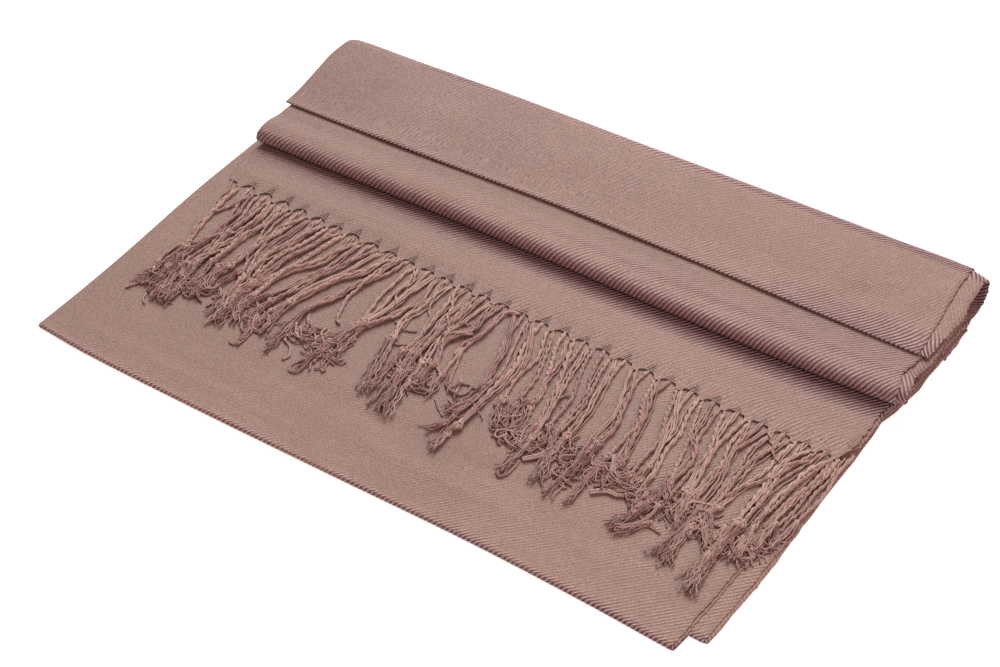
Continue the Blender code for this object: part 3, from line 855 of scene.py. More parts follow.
def top_look(x, y, along, chain):
    """Clearest near the front fold on the right and round the back fold; painted shade on the left."""
    from_fold = np.clip(y - fold_line("top", x), 0, 1)
    to_right = ramp(x, 18 * CM, 14 * CM)
    near = ramp(from_fold, 0, 4 * MM) * ease(1.5 - from_fold / (1.7 * CM))
    left = 0.32 * bell(x, 6.2 * CM, 2.0 * CM) - 0.16 * ease(1 - x / (8 * CM))
    back = ease((y - fold_line("back", x) + 17 * MM) / (9 * MM)) * ramp(x, 12 * CM, 12 * CM)
    return 0.32 + left + to_right * (0.20 + 0.70 * near) + 0.45 * back, 0 * x, 0.66 * painted_left_shade(x)


front_cloth = leaf_piece("front_cloth", front_path(), FRONT_EDGES, 108, 11, uneven=front_uneven,
                         upper_lift=0.25 * MM, look=front_look, thickness=pressed_leaf)
nested_cloth = leaf_piece("nested_cloth", nested_path(), NESTED_EDGES, 90, 12, upper_lift=0.1 * MM,
                          thickness=pressed_leaf)
middle_cloth = leaf_piece("middle_cloth", middle_path(), MIDDLE_EDGES, 150, 13, uneven=middle_uneven,
                          upper_lift=0.3 * MM, weave=middle_weave, look=middle_look)
top_cloth = leaf_piece("top_cloth", top_path(), TOP_EDGES, 136, 14, uneven=top_uneven,
                       upper_lift=0.3 * MM, weave=top_weave, look=top_look, thickness=top_press)

# %% [markdown]
# ## The edge that the fringe pulls at
#
# At the fringed end, bundles of warp are drawn together and twisted into cords. So the edge is a row
# of short webs with a notch between each two, and the last weft threads above a notch have been pulled
# apart, so that a few dark gaps show. The webs are moves of the same fine grid. The gaps are drawn by
# the twill material, which reads from the mesh how far it is behind the edge.

# %% The fringed end
NOTCHES = CM * np.array([
    2.15, 3.20, 4.25, 5.30, 6.40, 7.45, 8.45, 9.60, 10.70, 11.70, 12.85, 13.90, 15.00, 16.05,
    17.10, 18.15, 19.20, 20.35, 21.45, 22.50, 23.70, 24.90, 26.00, 27.20, 28.30, 29.50, 30.75,
    31.90, 32.95, 33.95])
PULLED = np.array([
    0.4, 0.9, 1.0, 0.5, 0.8, 0.3, 0.8, 0.8, 0.9, 1.0, 0.6, 0.8, 1.0, 1.0, 0.9,
    0.6, 0.9, 0.7, 0.4, 0.9, 0.9, 1.0, 0.5, 0.8, 0.7, 0.3, 0.3, 0.4, 0.3, 0.1])
ROOTS = np.concatenate([[1.60 * CM], (NOTCHES[1:] + NOTCHES[:-1]) / 2, [34.45 * CM]])
EDGE_Y = 12.94 * CM
WEB_LENGTH = 2.6 * MM
WEB_HALF = 2.4 * MM
EDGE_SINK = 0.5 * MM


def edge_thickness(x, y):
    """The pulled edge lies thin and close on the panel."""
    return 1 - 0.5 * ease(1 - (y - root_line(x)) / EDGE_ZONE)


def from_notch(x):
    """Number of the notch at a place, how far to its right the place is, and if there is one at all."""
    number = np.clip(np.searchsorted(ROOTS, x) - 1, 0, len(NOTCHES) - 1)
    return number, x - NOTCHES[number], (x > ROOTS[0]) & (x < ROOTS[-1])


def notch_top(number, off):
    """Depth of a notch's edge; the notches on the left are pulled rounder than those on the right."""
    high = (0.4 + 1.3 * ease(1 - number / 12) + 0.3 * np.sin(number * 12.99)) * MM
    return EDGE_Y + high * (1 - (off / (3.4 * MM)) ** 2)


def fringe_edge(x, y, along, chain):
    """The upper sheet's webs reach forward between the notches; the under sheet stays back."""
    number, off, inside = from_notch(x)
    near = ease(1 - (y - root_line(x)) / EDGE_ZONE)
    to_root = abs(x[..., None] - ROOTS).min(axis=-1)
    web = ease((WEB_HALF - to_root) / (1.5 * MM))
    edge = np.where(inside, notch_top(number, off), EDGE_Y) * (1 - web) + (EDGE_Y - WEB_LENGTH) * web
    upper = chain > 0
    under_edge = EDGE_Y + (1.3 + 1.3 * ease(1 - x / (13 * CM))) * MM
    forward = (np.where(upper, edge, under_edge) - root_line(x)) * near
    corner = ramp(x, 34.3 * CM, 0.7 * CM) * ease(1 - (y - root_line(x)) / (28 * MM))
    forward = forward + 10 * MM * corner
    rise = 0.12 * MM * ripple(x / 0.02, y / 0.03, 9) - EDGE_SINK * near
    crease = bell(x, 1.05 * CM, 0.9 * MM) * ease((y - 13 * CM) / CM) * ease((16 * CM - y) / CM)
    return forward, rise - 0.35 * MM * crease * upper


def fringe_look(x, y, along, chain):
    """Clear ribs to the right, over each notch a triangle of pulled wefts, and painted shade before the
    roll.
    """
    number, off, inside = from_notch(x)
    behind = y + fringe_edge(x, y, along, chain)[0] - notch_top(number, off)
    reach = (2.8 + 3.2 * PULLED[number]) * MM
    half = (3.1 + 0.5 * np.sin(number * 5.3)) * MM * (1 - behind / reach)
    lean = off - 0.5 * MM * np.sin(number * 3.7) - 0.15 * behind
    pulled = ease((half - abs(lean)) / (0.7 * MM)) * ramp(behind, 0, 0.4 * MM)
    pulled = pulled * (0.5 + 0.5 * PULLED[number])
    # painted shade before the roll: clearer ribs with darker grooves, and on the left a darker cloth as
    # the roll's painted shadow
    shaded = ease((y - fold_line("roll", x) + 13 * MM) / (13 * MM)) * (0.7 + 0.3 * ramp(x, 0, 25 * CM))
    painted_roll_shadow = ease((y - fold_line("roll", x) + 15 * MM) / (9 * MM)) * (1 - ramp(x, 8 * CM, 14 * CM))
    # the cloth is also drawn darker to the right, behind the edge zone
    darker_right = 0.4 * ramp(x, 22 * CM, 8 * CM) * ease((behind - EDGE_ZONE) / (4 * MM))
    pulled = pulled * inside * (chain > 0) + np.maximum(1.3 * painted_roll_shadow, darker_right)
    behind = np.where(behind < EDGE_ZONE, behind, 0)
    return 0.24 + 0.54 * ramp(x, 0, 34 * CM) + 1.5 * shaded, behind, pulled


def fringe_weave(x, y, along, chain):
    """The fringed end was pulled shorter along its length."""
    return 0.87 * along + 0 * x


fringed_cloth = leaf_piece("fringed_cloth", fringed_path(), FRINGED_EDGES, 520, 15, uneven=fringe_edge,
                           upper_lift=0.3 * MM, look=fringe_look, weave=fringe_weave,
                           thickness=edge_thickness)

# %% [markdown]
# ## Where the cords run
#
# Every root holds two cords, but the one furthest left holds only its right one. They lie loosely on
# the front panel, lean together in tassels, and end in a knot and a tuft. Hair systems could scatter
# them, but a tassel is a thing that lies in one place, so each cord has its own place here: across
# when it is 11 and 9.5 cm behind the front edge, then its neck, its knot and the end of its tuft, all
# in centimetres. A line of the table holds the left and the right cord of one root.

# %% Table of the cords
DEPTH_11, DEPTH_9 = 11 * CM, 9.5 * CM
CORD_COLUMNS = ("x_11", "x_9", "neck_x", "neck_y", "knot_x", "knot_y", "tip_x", "tip_y")
CORDS = (
    (1.8, 1.9, 2.4, 8.9, 2.3, 7.7, 1.8, 4.5),
    (2.85, 2.95, 2.8, 8.7, 2.5, 7, 2.6, 4.6), (3.2, 3.2, 3, 8.6, 3, 6.8, 3.2, 4.3),
    (3.5, 3.45, 3.3, 8.5, 3.4, 6.6, 3.6, 4.2), (3.95, 3.75, 3.5, 8.3, 3.6, 6.9, 4.1, 4.5),
    (4.45, 4.2, 3.8, 8.3, 4.2, 7.5, 4.4, 5.2), (4.9, 5, 4.9, 8.4, 4.4, 7.3, 4.9, 5.4),
    (5.4, 5.2, 5.1, 8.6, 4.9, 7.4, 5, 6), (5.8, 5.5, 5.6, 8.2, 5.6, 7.6, 5.2, 6.3),
    (6.4, 5.95, 5.9, 8.4, 6, 7.5, 6.3, 4.9), (6.85, 6.4, 6.3, 8.3, 6.3, 7.2, 6.6, 4.3),
    (7.25, 6.9, 6.6, 8.3, 6.7, 7, 6.9, 4.5), (7.65, 7.5, 7.3, 8.2, 7.1, 6.9, 7.2, 5.1),
    (8.4, 7.6, 6.95, 8.7, 6.5, 7.4, 6.7, 5.4), (8.85, 8.5, 8, 8.2, 7.5, 6.9, 7.4, 4.8),
    (9.3, 8.9, 8.4, 8.2, 8, 6.8, 7.9, 5.2), (9.8, 9.2, 8.8, 8.4, 8.4, 6.4, 8.5, 4.1),
    (10.3, 9.5, 9, 8.6, 8.8, 6.8, 8.9, 5.1), (10.95, 10.5, 10.2, 8.4, 9.5, 7, 9.8, 4.3),
    (12, 12.2, 12.2, 8.6, 12.2, 7.9, 11.3, 6.1), (12.55, 12.5, 12.45, 8.7, 12.4, 8.1, 11.9, 5.4),
    (13.1, 12.85, 12.6, 8.8, 12.5, 8.1, 12.7, 5.7), (13.75, 13.3, 12.9, 8.8, 12.7, 8.2, 11.8, 4.3),
    (14.1, 13.9, 13.7, 8.8, 14.5, 8.1, 15, 4.6), (15, 15.2, 15.1, 8.6, 15.1, 7.6, 15.3, 4.9),
    (15.4, 15.45, 15.4, 8.7, 15.5, 7.4, 16.2, 4.2), (15.85, 15.7, 15.7, 8.8, 15.8, 7.5, 16.5, 4.1),
    (16.3, 16, 16, 9, 16.3, 7.6, 16.9, 4), (16.9, 16.4, 16.2, 9.2, 16.8, 7.6, 17.2, 6.3),
    (17.5, 17.2, 17.5, 8.6, 17.4, 7.4, 17.7, 6), (18.7, 19, 19.4, 8.4, 19.4, 7.5, 18.9, 5.8),
    (19.3, 19.65, 19.75, 6.6, 19.3, 5.3, 18.85, 4.4), (19.75, 19.95, 19.9, 6.4, 19.85, 4.9, 19.65, 3.5),
    (20.3, 20.3, 20.3, 8.8, 20.8, 7.2, 21.3, 6.2), (20.7, 21, 21.1, 8.2, 21.4, 7.4, 21.7, 6),
    (21.3, 21.6, 21.8, 8.8, 21.7, 8.1, 21.9, 6.4), (21.75, 22.15, 22.6, 8, 22.9, 7, 22.9, 5.6),
    (22.1, 22.5, 22.9, 7.6, 23, 6.3, 22.8, 4), (22.55, 23, 23.2, 8.6, 23.2, 7.4, 23.2, 5.7),
    (23.4, 23.6, 23.6, 8.6, 23.7, 7.5, 24.4, 5.2), (23.8, 24, 24.1, 8.4, 24.2, 7.4, 24.6, 4.4),
    (24.75, 25.2, 25.2, 8.6, 25.1, 7.5, 25.2, 4), (25.1, 25.6, 25.8, 8.6, 25.4, 7.3, 25.5, 5.3),
    (25.9, 26.4, 26.6, 8.6, 26.1, 7, 26.3, 4.1), (26.1, 26.6, 26.9, 8.5, 27, 7.4, 27, 5.9),
    (27.15, 27.6, 27.6, 8.4, 27.7, 7, 27.2, 5.9), (27.5, 27.9, 28, 8.5, 28.3, 7.2, 28.2, 6.4),
    (28, 28.2, 28.3, 8.6, 28.6, 7, 28.9, 5.4), (28.35, 28.9, 29.2, 8.4, 29.4, 7.6, 29.8, 6.5),
    (28.9, 29.4, 29.6, 8.2, 29.2, 6.4, 28.6, 4.1), (29.5, 29.8, 29.9, 8.6, 29.6, 6, 29, 4),
    (29.9, 30.1, 30.2, 8.6, 30.3, 7.6, 30.6, 6), (30.35, 30.6, 30.6, 8.6, 30.5, 7.4, 31, 5.2),
    (30.7, 30.95, 31, 8.4, 31.2, 6.6, 30.9, 3.7), (31.2, 31.35, 31.3, 8.4, 31.4, 6, 31.7, 3.5),
    (31.65, 31.6, 31.5, 8.6, 31.6, 7.2, 32.4, 5.6), (32.4, 32.1, 31.8, 8.6, 31.8, 7, 32.7, 5.2),
    (32.75, 32.75, 32.9, 8.6, 32.9, 6.8, 32.7, 3.3), (33.1, 33.1, 33.1, 8.4, 33.2, 6.6, 33.2, 2.9),
    (33.75, 33.6, 33.6, 8.4, 33.6, 7, 33.7, 5.3), (34.4, 34.1, 34.1, 8.2, 34.1, 6.9, 34.3, 5.2),
)
cord_rows = [dict(zip(CORD_COLUMNS, row), root=(k + 1) // 2, side=-1 if k % 2 else 1)
             for k, row in enumerate(CORDS)]
print(len(cord_rows), "cords at", len({row["root"] for row in cord_rows}), "roots")

# %% [markdown]
# ## Letting threads lie on each other
#
# Threads that cross must pass over each other. A physics run could settle them, slowly and never
# quite the same twice. Here a height map of the front panel does the work: a new cord asks how high
# the pile is along its way, lies on that as a stiff line would, and then raises the pile itself.

# %% A pile of threads
PILE_CELL = 0.5 * MM
PILE_CELLS = (780, 300)        # across and in depth
PILE_START = np.array([-0.01, 0.0])
PILE_LIMIT = 7.5 * MM
pile_x, pile_y = (start + np.arange(count) * PILE_CELL for start, count in zip(PILE_START, PILE_CELLS))
panel_height = (FRONT_TOP_Z + LEAF) * press_at(pile_y) + np.zeros((PILE_CELLS[0], 1))
panel_height[pile_x > 34.25 * CM] -= LEAF + 0.1 * MM
pile = panel_height.copy()
rng = np.random.default_rng(7)


def length_along(line):
    """Length from a line's start to each of its points."""
    return np.concatenate([[0], np.cumsum(np.linalg.norm(np.diff(line, axis=0), axis=1))])


def smooth_way(points, spacing):
    """A smooth line through points of any dimension, with a point at every spacing."""
    points = np.asarray(points, float)
    chord = length_along(points)
    fine = np.linspace(0, chord[-1], max(int(chord[-1] / spacing) * 2, 8))
    line = np.stack([curve_through(chord, points[:, k], fine) for k in range(points.shape[1])], axis=1)
    length = length_along(line)
    even = np.linspace(0, length[-1], max(int(round(length[-1] / spacing)), 4) + 1)
    return np.stack([np.interp(even, length, line[:, k]) for k in range(points.shape[1])], axis=1)


def lie_down(way, radius, stiff, start_z=None, lead=7, press=0.2):
    """Heights of a thread's middle along its way (x, y), as it lies on the pile; raises the pile."""
    cells = np.round((way - PILE_START) / PILE_CELL).astype(int)
    reach = max(int(round(radius / PILE_CELL)), 1)
    cells[:, 0] = np.clip(cells[:, 0], reach, pile.shape[0] - reach - 1)
    cells[:, 1] = np.clip(cells[:, 1], reach, pile.shape[1] - reach - 1)
    under = pile[cells[:, 0], cells[:, 1]]
    padded = np.pad(under, stiff, mode="edge")
    high = np.array([padded[k:k + 2 * stiff + 1].max() for k in range(len(under))])
    window = np.hanning(2 * stiff + 3)[1:-1]
    rest = np.pad(0.4 * high + 0.6 * under, stiff, mode="edge")
    z = np.convolve(rest, window / window.sum(), mode="valid") + radius
    floor = panel_height[cells[:, 0], cells[:, 1]]
    z = floor + PILE_LIMIT * (1 - np.exp(-(z - floor) / PILE_LIMIT))
    if start_z is not None:
        share = ease(np.arange(len(z)) / lead)
        z = start_z * (1 - share) + z * share
    side = np.arange(-reach, reach + 1) * PILE_CELL
    away = (side[:, None] ** 2 + side[None, :] ** 2) / (reach * PILE_CELL * 1.2) ** 2
    dome = np.sqrt(np.clip(1 - away, 0, 1))
    for (i, j), middle in zip(cells, z):
        patch = pile[i - reach:i + reach + 1, j - reach:j + reach + 1]
        np.maximum(patch, np.where(dome > 0, middle + radius * (press + 0.6 * (dome - 1)), 0), out=patch)
    return z


# %% [markdown]
# ## Tubes, plies and knots
#
# A cord is two plies that wind round each other, so each ply is a thin tube whose middle line is a
# helix about the cord's line. Where a cord has come loose, three or four yarns lie almost flat beside
# each other. A knot is a tube along a trefoil, the line of every overhand knot. Curve objects with a
# bevel could draw them too, but tubes made from arrays join into one mesh.

# %% Tubes and twisted cords
PLY_RADIUS = 0.60 * MM
PLY_OFFSET = 0.44 * MM
TWIST_PITCH = 8.5 * MM
CORD_RADIUS = 1.0 * MM
SPACING = 0.9 * MM
UNDERSIDE_SHADE = 0.70         # painted shade: how much darker a thread is drawn underneath


class Threads:
    """Collects many tubes for one mesh."""

    def __init__(self):
        self.points, self.quads, self.ply, self.count = [], [], [], 0

    def tube(self, line, radii, sides, shade):
        """Add a closed tube along a line of 3-D points."""
        line = np.asarray(line)
        tangent = np.gradient(line, axis=0)
        tangent /= np.linalg.norm(tangent, axis=1)[:, None]
        side = np.zeros_like(line)
        start = np.cross(tangent[0], (0, 0, 1.0) if abs(tangent[0][2]) < 0.9 else (1.0, 0, 0))
        side[0] = start / np.linalg.norm(start)
        for k in range(1, len(line)):
            moved = side[k - 1] - tangent[k] * np.dot(side[k - 1], tangent[k])
            side[k] = moved / np.linalg.norm(moved)
        up = np.cross(tangent, side)
        angle = np.arange(sides) * 2 * math.pi / sides
        radii = np.broadcast_to(np.asarray(radii, float), (len(line),))
        ring = (side[:, None] * np.cos(angle)[None, :, None] + up[:, None] * np.sin(angle)[None, :, None])
        points = line[:, None] + ring * radii[:, None, None]
        grid = self.count + np.arange(len(line) * sides).reshape(len(line), sides)
        turned = np.roll(grid, -1, axis=1)
        walls = np.stack([grid[:-1], turned[:-1], turned[1:], grid[1:]], axis=2).reshape(-1, 4)
        caps = []
        for row, flip in ((grid[0], True), (grid[-1], False)):
            for k in range(1, sides - 1, 2):
                cap = [row[0], row[k], row[k + 1], row[min(k + 2, sides - 1)]]
                caps.append(cap[::-1] if flip else cap)
        length = length_along(line)
        self.points.append(points.reshape(-1, 3))
        self.quads.append(walls)
        self.quads.append(np.array(caps))
        # painted shade on each thread's underside
        deep = UNDERSIDE_SHADE * np.minimum(ring[:, :, 2] - 0.2, 0)
        place = np.stack(np.broadcast_arrays(length[:, None], angle[None, :], shade + deep), axis=2)
        self.ply.append(place.reshape(-1, 3))
        self.count += len(line) * sides

    def piece(self, name):
        """One object from all the tubes."""
        return mesh_piece(name, np.concatenate(self.points) + SHIFT, np.concatenate(self.quads),
                          {"ply": np.concatenate(self.ply)})


def beside(line):
    """Unit directions to the side of a 3-D line and up from it."""
    tangent = np.gradient(line, axis=0)
    side = np.cross(tangent, (0, 0, 1.0))
    side /= np.linalg.norm(side, axis=1)[:, None]
    up = np.cross(side, tangent)
    return side, up / np.linalg.norm(up, axis=1)[:, None]


def twisted_cord(threads, line, shade, scale=1.0):
    """Two plies wound round each other along a line of 3-D points."""
    length = length_along(line)
    side, up = beside(line)
    phase = rng.uniform(0, 6.28)
    pitch = TWIST_PITCH * rng.uniform(0.75, 1.6)
    angle = phase + length / pitch * 2 * math.pi + 0.7 * np.sin(length / 0.009 + 2 * phase)
    thick = rng.uniform(0.80, 1.12) * scale
    swell = thick * (1 + 0.10 * np.sin(length / 0.011 + phase))
    for half in (0, math.pi):
        away = side * np.cos(angle + half)[:, None] + up * np.sin(angle + half)[:, None]
        threads.tube(line + away * PLY_OFFSET * thick, PLY_RADIUS * swell, 6, shade + half * 0.03)


def loose_cord(threads, line, shade):
    """Three or four yarns that lie almost flat beside each other and change places slowly."""
    length = length_along(line)
    side, up = beside(line)
    yarns = int(rng.integers(3, 5))
    turn = length / rng.uniform(0.025, 0.060) * 2 * math.pi + rng.uniform(0, 6.28)
    wide = rng.uniform(0.85, 1.25) * MM * (0.75 + 0.25 * np.sin(length / 0.012 + rng.uniform(0, 6)))
    for k in range(yarns):
        angle = turn + k * 2 * math.pi / yarns
        offset = side * (np.cos(angle) * wide)[:, None] + up * (np.sin(angle) * 0.32 * MM)[:, None]
        threads.tube(line + offset, rng.uniform(0.42, 0.54) * MM, 5, shade + rng.normal(0, 0.06))


def overhand_knot(threads, centre, heading, size, shade):
    """A small trefoil of one thick ply, pulled along its heading."""
    t = np.linspace(0, 2 * math.pi, 25)[:-1] + rng.uniform(0, 2)
    t = np.append(t, t[0] + 2 * math.pi)
    trefoil = np.stack([(2 + np.cos(3 * t)) * np.cos(2 * t), (2 + np.cos(3 * t)) * np.sin(2 * t),
                        np.sin(3 * t) * 1.1], axis=1) / 3
    along = np.array([heading[0], heading[1], 0.0])
    along /= np.linalg.norm(along)
    across = np.array([-along[1], along[0], 0.0])
    up = np.array([0, 0, 1.0])
    line = (trefoil[:, :1] * along * 1.15 + trefoil[:, 1:2] * across * 0.8
            + trefoil[:, 2:] * up * 0.7) * size + centre
    threads.tube(line, 0.30 * size, 6, shade)


# %% [markdown]
# ## The tufts
#
# Past its knot a cord comes undone into its yarns. They stay together as a lock that keeps one
# direction, spreads a little and ends bluntly, with here and there a yarn that strays.

# %% Cords, knots and tufts
YARN_RADIUS = 0.40 * MM
LOCK_SPACING = 1.3 * MM
TWISTED_SHARE = 0.70           # of the cords; the others have come loose
SLIPPED_SHARE = 0.5            # of the cords; beside these a single yarn has slipped out
UNDER_YARNS, UPPER_YARNS, STRAY_YARNS = 4, 7, 11   # yarns in a lock of each kind
UNDER_START_Z = FRINGED_Z - 0.7 * MM
UPPER_START_Z = FRINGED_Z - 0.45 * MM


def lock(threads, way, start_z, yarns, width, shade):
    """Untwisted, crinkled yarns that run side by side along a way and end as a blunt brush."""
    z = lie_down(way, 0.7 * MM, 2, start_z, 3)
    t = np.linspace(0, 1, len(way))
    length = t * len(way) * LOCK_SPACING
    tangent = np.gradient(way, axis=0)
    tangent /= np.linalg.norm(tangent, axis=1)[:, None]
    across = np.stack([-tangent[:, 1], tangent[:, 0]], axis=1)
    half = 0.7 * MM + (width - 0.7 * MM) * t ** 0.8
    for k in range(yarns):
        lane = (k + 0.5) / yarns * 2 - 1 + rng.normal(0, 0.15)
        curl = rng.uniform(0.3, 1.0) * MM * t ** 0.5
        wave = curl * np.sin(length / rng.uniform(0.9, 1.9) / MM + rng.uniform(0, 6))
        splay = rng.normal(0, 1.6 * MM) * t ** 3
        rise = (k % 2 - 0.5) * 0.8 * MM * (1 - 0.4 * t) + 0.45 * MM * (1 - lane * lane)
        rise = rise + 0.35 * MM * np.sin(length / (1.5 * MM) + rng.uniform(0, 6)) * t
        yarn = np.column_stack([way + across * (lane * half + wave + splay)[:, None], z + rise + 0.3 * MM])
        count = len(way) - int(rng.integers(0, 4))
        fade = np.linspace(1.1, 0.8, count) * rng.uniform(0.75, 1.15)
        threads.tube(yarn[:count], YARN_RADIUS * fade, 4, shade + rng.normal(0, 0.22))


def tangle(threads, centre, wide, yarns, shade):
    """Yarns that hang forward and curl round each other in a loose heap."""
    for _ in range(yarns):
        heading, turning = -math.pi / 2 + rng.normal(0, 0.65), rng.normal(0, 0.12)
        place = centre + rng.normal(0, 0.45, 2) * wide + (0, 0.35 * wide)
        way = [place]
        for _ in range(int(rng.integers(8, 16))):
            turning = 0.75 * turning + rng.normal(0, 0.14)
            heading += turning
            step = 1.2 * MM * np.array([math.cos(heading), math.sin(heading)])
            place = place + step + 0.06 * (centre - place)
            way.append(place)
        way = smooth_way(np.array(way), 1.1 * MM)
        z = lie_down(way, 0.45 * MM, 1, press=0.5) + rng.uniform(-0.1, 0.3) * MM
        radius = YARN_RADIUS * rng.uniform(0.85, 1.5)
        threads.tube(np.column_stack([way, z]), radius, 4, shade + rng.normal(0, 0.40))


def lay_cord(cords, tufts, start, ways, neck, knot, tip, start_z, shade, yarns):
    """One cord: twisted or loose down to its knot, then a lock of yarns."""
    neck = neck + (knot - neck) * rng.uniform(0.45, 1.1)
    way = smooth_way([start] + ways + [neck], SPACING)
    steps = np.arange(len(way))
    wander = 0.7 * MM * np.sin(steps * rng.uniform(0.10, 0.26) + rng.uniform(0, 6))
    kinks = 0.20 * MM * np.sin(steps * rng.uniform(0.55, 0.95) + rng.uniform(0, 6))
    arch = np.sin(np.linspace(0, math.pi, len(way)))
    way[:, 0] += (wander + kinks) * arch ** 0.6
    line = np.column_stack([way, lie_down(way, CORD_RADIUS * 0.9, 4, start_z)])
    (twisted_cord if rng.random() < TWISTED_SHARE else loose_cord)(cords, line, shade)
    if rng.random() < SLIPPED_SHARE:
        slipped = way.copy()
        slipped[:, 0] += rng.choice((-1, 1)) * rng.uniform(1.2, 2.4) * MM * arch ** 0.5
        z = lie_down(slipped, 0.45 * MM, 2, start_z)
        cords.tube(np.column_stack([slipped, z]), 0.45 * MM, 5, shade - 0.15)
    heading = way[-1] - way[-3]
    overhand_knot(tufts, line[-1] + (0, 0, 0.3 * MM), heading, rng.uniform(1.5, 2.2) * MM, shade)
    bend = rng.normal(0, 1.6 * MM, 2)
    lock_way = smooth_way([neck, neck * 0.45 + knot * 0.15 + tip * 0.4 + bend, tip], LOCK_SPACING)
    # the lock is drawn darker than its cord: painted shade among the loose yarns
    lock(tufts, lock_way, line[-1][2], yarns, rng.uniform(1.2, 2.6) * MM, shade - 0.25)


under_cords, upper_cords, tufts = Threads(), Threads(), Threads()
for i, x in enumerate(NOTCHES):
    near_rows = [row for row in cord_rows if (row["root"], row["side"]) in ((i, 1), (i + 1, -1))]
    guide = near_rows[int(rng.integers(0, len(near_rows)))]
    aside = rng.normal(0, 1.2 * MM)
    points = [(0.6 * (guide["x_11"] * CM + aside) + 0.4 * x, DEPTH_11),
              (guide["x_9"] * CM + aside, DEPTH_9)]
    neck = np.array([guide["neck_x"] * CM + aside, guide["neck_y"] * CM])
    knot = np.array([guide["knot_x"] * CM + aside, (guide["knot_y"] - rng.uniform(0, 0.8)) * CM])
    tip = np.array([guide["tip_x"] * CM + aside, (guide["tip_y"] + rng.uniform(0, 0.5)) * CM])
    start = (x, root_line(x) + 1.0 * MM)
    lay_cord(under_cords, tufts, start, points, neck, knot, tip, UNDER_START_Z,
             rng.normal(0, 0.2), UNDER_YARNS)

for k in rng.permutation(len(cord_rows)):
    row = cord_rows[k]
    x = ROOTS[row["root"]] + row["side"] * 1.2 * MM
    points = [(row["x_11"] * CM, DEPTH_11), (row["x_9"] * CM, DEPTH_9)]
    neck, knot, tip = (CM * np.array([row[f"{name}_x"], row[f"{name}_y"]])
                       for name in ("neck", "knot", "tip"))
    start = (x, EDGE_Y - WEB_LENGTH * 0.5)
    lay_cord(upper_cords, tufts, start, points, neck, knot, tip, UPPER_START_Z,
             rng.normal(0, 0.3), UPPER_YARNS)

# %% [markdown]
# ## Strays and loops
#
# A fringe looks real by its accidents: a loose end, a yarn that has slipped out into a loop, a lock
# that folded over. They are placed one by one. Each row is a kind, a size, and the points that it
# runs through, each as a place across and a depth in centimetres. The size is the radius of a yarn or
# of each yarn of a band, half the width of a lock, all in millimetres, or how thick a cord is.

